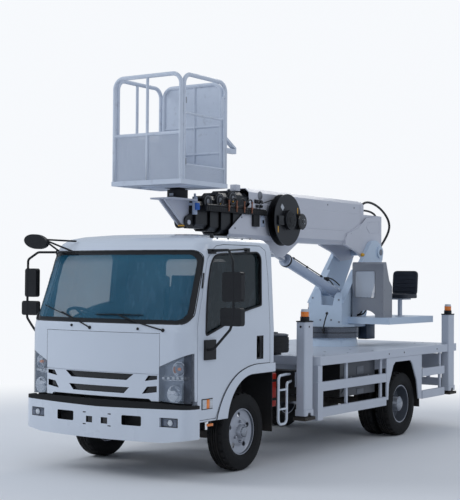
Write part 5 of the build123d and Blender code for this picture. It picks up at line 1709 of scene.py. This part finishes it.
class TRUCK_OT_boom_trim(TruckOperator):
    """Hoses, clamps, track, boxes, pulleys' hubs, reel marks and the cylinder's fittings"""
    bl_idname = "truck.boom_trim"
    bl_label = "Boom fittings"

    def build(self):
        self.rear_end()
        self.outer_side()
        self.pulley_hubs()
        self.reel()
        self.lift_cylinder()
        self.carrier()

    def rear_end(self):
        """Rear ends of the two boxes, hoses there and faces of the gusset plates."""
        loop = hose([(-3905, 120, 2780), (-3960, 130, 2850), (-4200, 140, 2850),
                     (-4520, 145, 2740), (-4700, 150, 2577), (-4590, 150, 2420),
                     (-4400, 150, 2280), (-4300, 150, 2212)], 15, 4, 4)
        second = hose([(-3905, 90, 2720), (-3980, 96, 2740), (-4150, 100, 2735),
                       (-4300, 105, 2710), (-4365, 110, 2660), (-4352, 110, 2600)], 13, 4, 4)
        done(joined([loop, second]), "rear_hoses", "boom_base", "hose_rubber")
        upper = plate([gear(-3800, y, z) for y, z in UPPER_BOX], (-0.1, 0, 0), 3)
        lower = plate([gear(-3800, y, z) for y, z in LOWER_BOX], (-0.546, 0, 0), 3)
        done(joined([upper, lower]), "boom_rear_boxes", "boom_base", "boom_white")
        cheeks = [plate([gear(x, 190.5 * side, z) for x, z in GUSSET], (0, 0.005 * side, 0), 1)
                  for _, side in SIDES]
        cheeks += [ring_pipe([gear(x, 196 * side, z) for x, z in PANEL], 3.5) for _, side in SIDES]
        cheeks += [pipe([gear(x, 173 * side, 2452) for x in (-2080, -2700, -3380)], 2.5, poly=True)
                   for _, side in SIDES]
        done(joined(cheeks), "gusset_faces", "boom_base", "boom_white")

    def outer_side(self):
        """Bolts, hose track, clamps and hoses, boxes and guides."""
        dots = [turned([(10, -1), (10, 4), (6, 6)], gear(x, y, z), LEFT, 16)
                for x, y, z in ((-1039, 172, 2512), (-910, 172, 2391), (-1120, 172, 2610),
                                (-2200, 160, 2760), (-2960, 160, 2752), (-3640, 160, 2748),
                                (-4070, 190, 2330), (-3500, 190, 2420))]
        done(joined(dots), "boom_bolts", "boom_base", "bolt_steel")
        end_cap = slab(gear(-3912, -148, 2690), gear(-3896, 148, 2800), 8)
        done(end_cap, "boom_rear_cap", "boom_base", "black_plastic")
        track = [slab(gear(-1506, 178, 2548), gear(-330, 206, 2600), 4)]
        track += [slab(gear(x, 204, 2552), gear(x + 26, 209, 2596), 2) for x in range(-1490, -350, 38)]
        track.append(slab(gear(-1400, 170, 2560), gear(-1200, 180, 2590), 2))
        done(joined(track), "hose_track", "boom_base", "black_plastic")
        clamps = []
        for x in CLAMP_X:
            clamps.append(bar(gear(x, 214, 2560), gear(x, 214, 2668), 8, 16))
            clamps.append(slab(gear(x - 15, 203, 2600), gear(x + 15, 224, 2622), 3))
            clamps.append(turned([(14, -6), (14, 6), (9, 10)], gear(x, 214, 2672), UP, 6))
        done(joined(clamps), "hose_clamps", "boom_base", "copper")
        hoses = []
        for n, x in enumerate(CLAMP_X):
            y = 186 + 5 * n
            hoses.append(hose([(x, 214, 2680), (x + 16, y + 20, 2712), (x + 80, y + 14, 2700),
                               (x + 130, y + 6, 2640), (x + 180, y, 2612), (-345, y, 2608)],
                              8, 4, 3))
        hoses.append(hose([(-1490, 196, 2604), (-1200, 198, 2618), (-900, 196, 2608),
                           (-350, 196, 2612)], 9, 4, 3))
        hoses.append(hose([(-1405, 196, 2678), (-1500, 214, 2706), (-1600, 240, 2740)], 6, 3, 3))
        done(joined(hoses), "boom_head_hoses", "boom_base", "hose_rubber")
        head_box = slab(gear(-1092, 40, 2798), gear(-1005, 120, 2868), 6)
        done(head_box, "head_box", "boom_section_2", "boom_white")
        side_box = slab(gear(-1358, 171, 2420), gear(-1238, 204, 2548), 6)
        done(side_box, "side_box", "boom_base", "black_plastic")
        bracket = slab(gear(-1503, 171, 2424), gear(-1424, 180, 2552), 3)
        done(bracket, "side_box_plate", "boom_base", "cylinder_white")
        # Painted shade: a thin black slab stands for the plate's slot
        slot = slab(gear(-1478, 179, 2462), gear(-1448, 184, 2500), 2)
        done(slot, "side_box_slot_shade", "boom_base", "gloss_black")
        guides = [bar(gear(x, 160, z), gear(x, 206, z), 17, 20) for x in (-1330, -1400) for z in (2646, 2700)]
        guides.append(slab(gear(-1424, 159, 2625), gear(-1306, 168, 2722), 4))
        done(joined(guides), "cable_guides", "boom_base", "gloss_black")
        cover = turned([(46, 0), (46, 5), (40, 7)], gear(-1426, 159.5, 2770), LEFT, 40)
        done(cover, "round_cover", "boom_base", "bolt_steel")

    def pulley_hubs(self):
        """Hubs and marks of the sections' pulleys."""
        for number, x, z, face in PULLEYS:
            hub = [turned([(26, -1), (26, 4), (14, 7)], gear(x, face, z), LEFT, 24),
                   turned([(60, -1), (60, 1.5), (55, 1.5), (55, -1)], gear(x, face, z), LEFT, 40, False)]
            done(joined(hub), f"pulley_hub_{number}", f"boom_section_{number}", "bolt_steel")
            spot = turned([(9, -1), (9, 2.5), (5, 3)], gear(x + 2, face + 4, z - 34), LEFT, 16)
            done(spot, f"pulley_mark_{number}", f"boom_section_{number}", "yellow")

    def reel(self):
        """Marks, cap, hose and arm of the hose reel."""
        reel_marks = []
        for turn in (radians(152), radians(-28)):
            centre = Vector((REEL_X, REEL_Z)) + Vector((cos(turn), sin(turn))) * 238
            reel_marks.append(slab(gear(centre.x - 8, 307, centre.y - 34),
                                   gear(centre.x + 8, 309.5, centre.y + 34), 1))
        done(joined(reel_marks), "reel_marks", body_of("hose_reel"), "yellow")
        corners = ((-1700, 2650), (-1650, 2690), (-1620, 2650), (-1668, 2610))
        label = plate([gear(x, 309, z) for x, z in corners], (0, 0.0015, 0), 0)
        done(label, "reel_label", body_of("hose_reel"), "pale_label")
        hub = [turned([(96, 0), (96, 3), (90, 5), (40, 6), (36, 12), (14, 14)], gear(REEL_X, 351, REEL_Z),
                      LEFT, 48)]
        for n in range(6):
            turn = n * pi / 3
            hub.append(turned([(8, 0), (8, 6), (5, 8)],
                              gear(REEL_X + 74 * cos(turn), 353, REEL_Z + 74 * sin(turn)), LEFT, 6))
        done(joined(hub), "reel_hub_cap", body_of("hose_reel"), "black_plastic")
        coils = [turned([(150 + 6 * n, 0), (157 + 6 * n, 4), (150 + 6 * n, 8)],
                        gear(REEL_X, 228 + 12 * n, REEL_Z), LEFT, 48, False) for n in range(5)]
        done(joined(coils), "reel_hose", body_of("hose_reel"), "hose_rubber")
        rear = [slab(gear(-2052, 311, 2450), gear(-1560, 330, 2556), 8),
                turned([(92, 0), (92, 34), (80, 44), (30, 47), (26, 52), (8, 53)], gear(-2030, 318, 2503),
                       LEFT, 48),
                slab(gear(-2060, 180, 2470), gear(-2020, 320, 2530), 5)]
        done(joined(rear), "reel_arm", "boom_base", "gloss_black")
        swivel_label = slab(gear(-2064, 364, 2476), gear(-2010, 366.5, 2530), 1)
        done(swivel_label, "reel_swivel_label", "boom_base", "pale_label")

    def lift_cylinder(self):
        """Valve, pipes and gland of the lift cylinder."""
        fittings = [slab(on_lift(300, -28, 70), on_lift(360, 28, 104), 5)]
        for y in (-18, 18):
            fittings.append(pipe([on_lift(330, y, 95), on_lift(280, y * 1.5, 128),
                                  on_lift(160, y * 1.6, 118), on_lift(60, y * 2.5, 92)], 8, 4, 3))
        fittings.append(bar(on_lift(420, 0, 84), on_lift(1180, 0, 84), 7))
        fittings += [slab(on_lift(u, -14, 66), on_lift(u + 16, 14, 92), 2) for u in (460, 820, 1150)]
        done(joined(fittings), "lift_valve_and_pipe", "lift_barrel", "hose_rubber")
        along = gear(LIFT_LUG.x, 0, LIFT_LUG.y) - gear(LIFT_FOOT.x, 0, LIFT_FOOT.y)
        collar = turned([(76, 0), (79, 3), (79, 26), (70, 34)], on_lift(1300, 0, 0), along, 40, False)
        done(collar, "lift_gland", "lift_barrel", "section_black")

    def carrier(self):
        """Motor label, levelling ram and stop of the basket's carrier."""
        mount = bpy.data.objects["basket_bracket"]
        zone(mount, "black_plastic", lambda c, n: c.z > 2.6625)
        motor_label = slab(gear(4, -24, 2688), gear(8, 24, 2714), 1)
        done(motor_label, "motor_label", "basket_mount", "pale_label")
        ram = [bar(gear(-250, 112, 2505), gear(-250, 112, 2690), 27, 28),
               bar(gear(-250, 112, 2685), gear(-250, 112, 2722), 12, 20),
               slab(gear(-262, 40, 2600), gear(-236, 112, 2628), 3)]
        done(joined(ram), "levelling_ram", "basket_mount", "cylinder_white")
        valve = bar(gear(-240, 150, 2552), gear(-240, 150, 2624), 26, 24)
        done(valve, "levelling_valve", "basket_mount", "valve_blue")
        stop = slab(gear(-242, -30, 2385), gear(-150, 50, 2398), 3)
        done(stop, "yellow_stop", "basket_mount", "yellow")


# Sheets of fine mesh in the basket, as boxes: low corner, high corner (from the gear's line)
MESH_SHEETS = (((410, -430, 2800), (420, 430, 3290)), ((-360, -415, 2800), (400, -405, 3290)),
               ((-360, 405, 2800), (400, 415, 2980)))


class TRUCK_OT_basket_trim(TruckOperator):
    """Mesh sheets, gate catch and hinges of the basket"""
    bl_idname = "truck.basket_trim"
    bl_label = "Basket fittings"

    def build(self):
        basket = bpy.data.objects["work_basket"]
        for low, high in MESH_SHEETS:
            low, high = gear(*low), gear(*high)
            zone(basket, "mesh_sheet", lambda c, n: all(low[i] < c[i] < high[i] for i in range(3)) and
                 max(abs(n.x), abs(n.y)) > 0.999)
        zone(basket, "black_plastic", lambda c, n: c.z < 2.7695)
        catch = [slab(gear(392, 400, 3480), gear(420, 420, 3530), 4),
                 bar(gear(398, 418, 3470), gear(398, 418, 3560), 6)]
        hinges = [bar(gear(350, 418, z), gear(350, 418, z + 60), 11) for z in (2960, 3560)]
        done(joined(catch + hinges), "basket_catches", "basket", "bolt_steel")


# In the order in which they run: the hubs and trims finish pieces of operators before them
OPERATORS = (TRUCK_OT_stage, TRUCK_OT_cab_body, TRUCK_OT_glass, TRUCK_OT_lamps, TRUCK_OT_cab_trim,
             TRUCK_OT_mirrors, TRUCK_OT_wheels, TRUCK_OT_hubs, TRUCK_OT_chassis, TRUCK_OT_cab_rear,
             TRUCK_OT_deck, TRUCK_OT_deck_trim, TRUCK_OT_boom_gear, TRUCK_OT_station,
             TRUCK_OT_boom_trim, TRUCK_OT_basket_trim)


class TRUCK_PT_panel(bpy.types.Panel):
    """Lists the truck's operators and settings."""
    bl_idname = "TRUCK_PT_panel"
    bl_label = "Cherry picker truck"
    bl_space_type = "VIEW_3D"
    bl_region_type = "UI"
    bl_category = "Truck"

    def draw(self, context):
        for group in (context.scene.truck_colours, context.scene.truck_sizes):
            column = self.layout.column()
            for setting in group.__annotations__:
                column.prop(group, setting)
        for operator in OPERATORS:
            self.layout.operator(operator.bl_idname)


CLASSES = (TruckColours, TruckSizes, *OPERATORS, TRUCK_PT_panel)


def register():
    """Make the operators, the panel and their settings known."""
    for cls in CLASSES:
        bpy.utils.register_class(cls)
    bpy.types.Scene.truck_colours = PointerProperty(type=TruckColours)
    bpy.types.Scene.truck_sizes = PointerProperty(type=TruckSizes)


def unregister():
    """Take them away again."""
    del bpy.types.Scene.truck_sizes
    del bpy.types.Scene.truck_colours
    for cls in reversed(CLASSES):
        bpy.utils.unregister_class(cls)


def main():
    """Build the truck, one operator after another."""
    register()
    for operator in OPERATORS:
        group, name = operator.bl_idname.split(".")
        getattr(getattr(bpy.ops, group), name)()


if __name__ == "__main__":
    main()
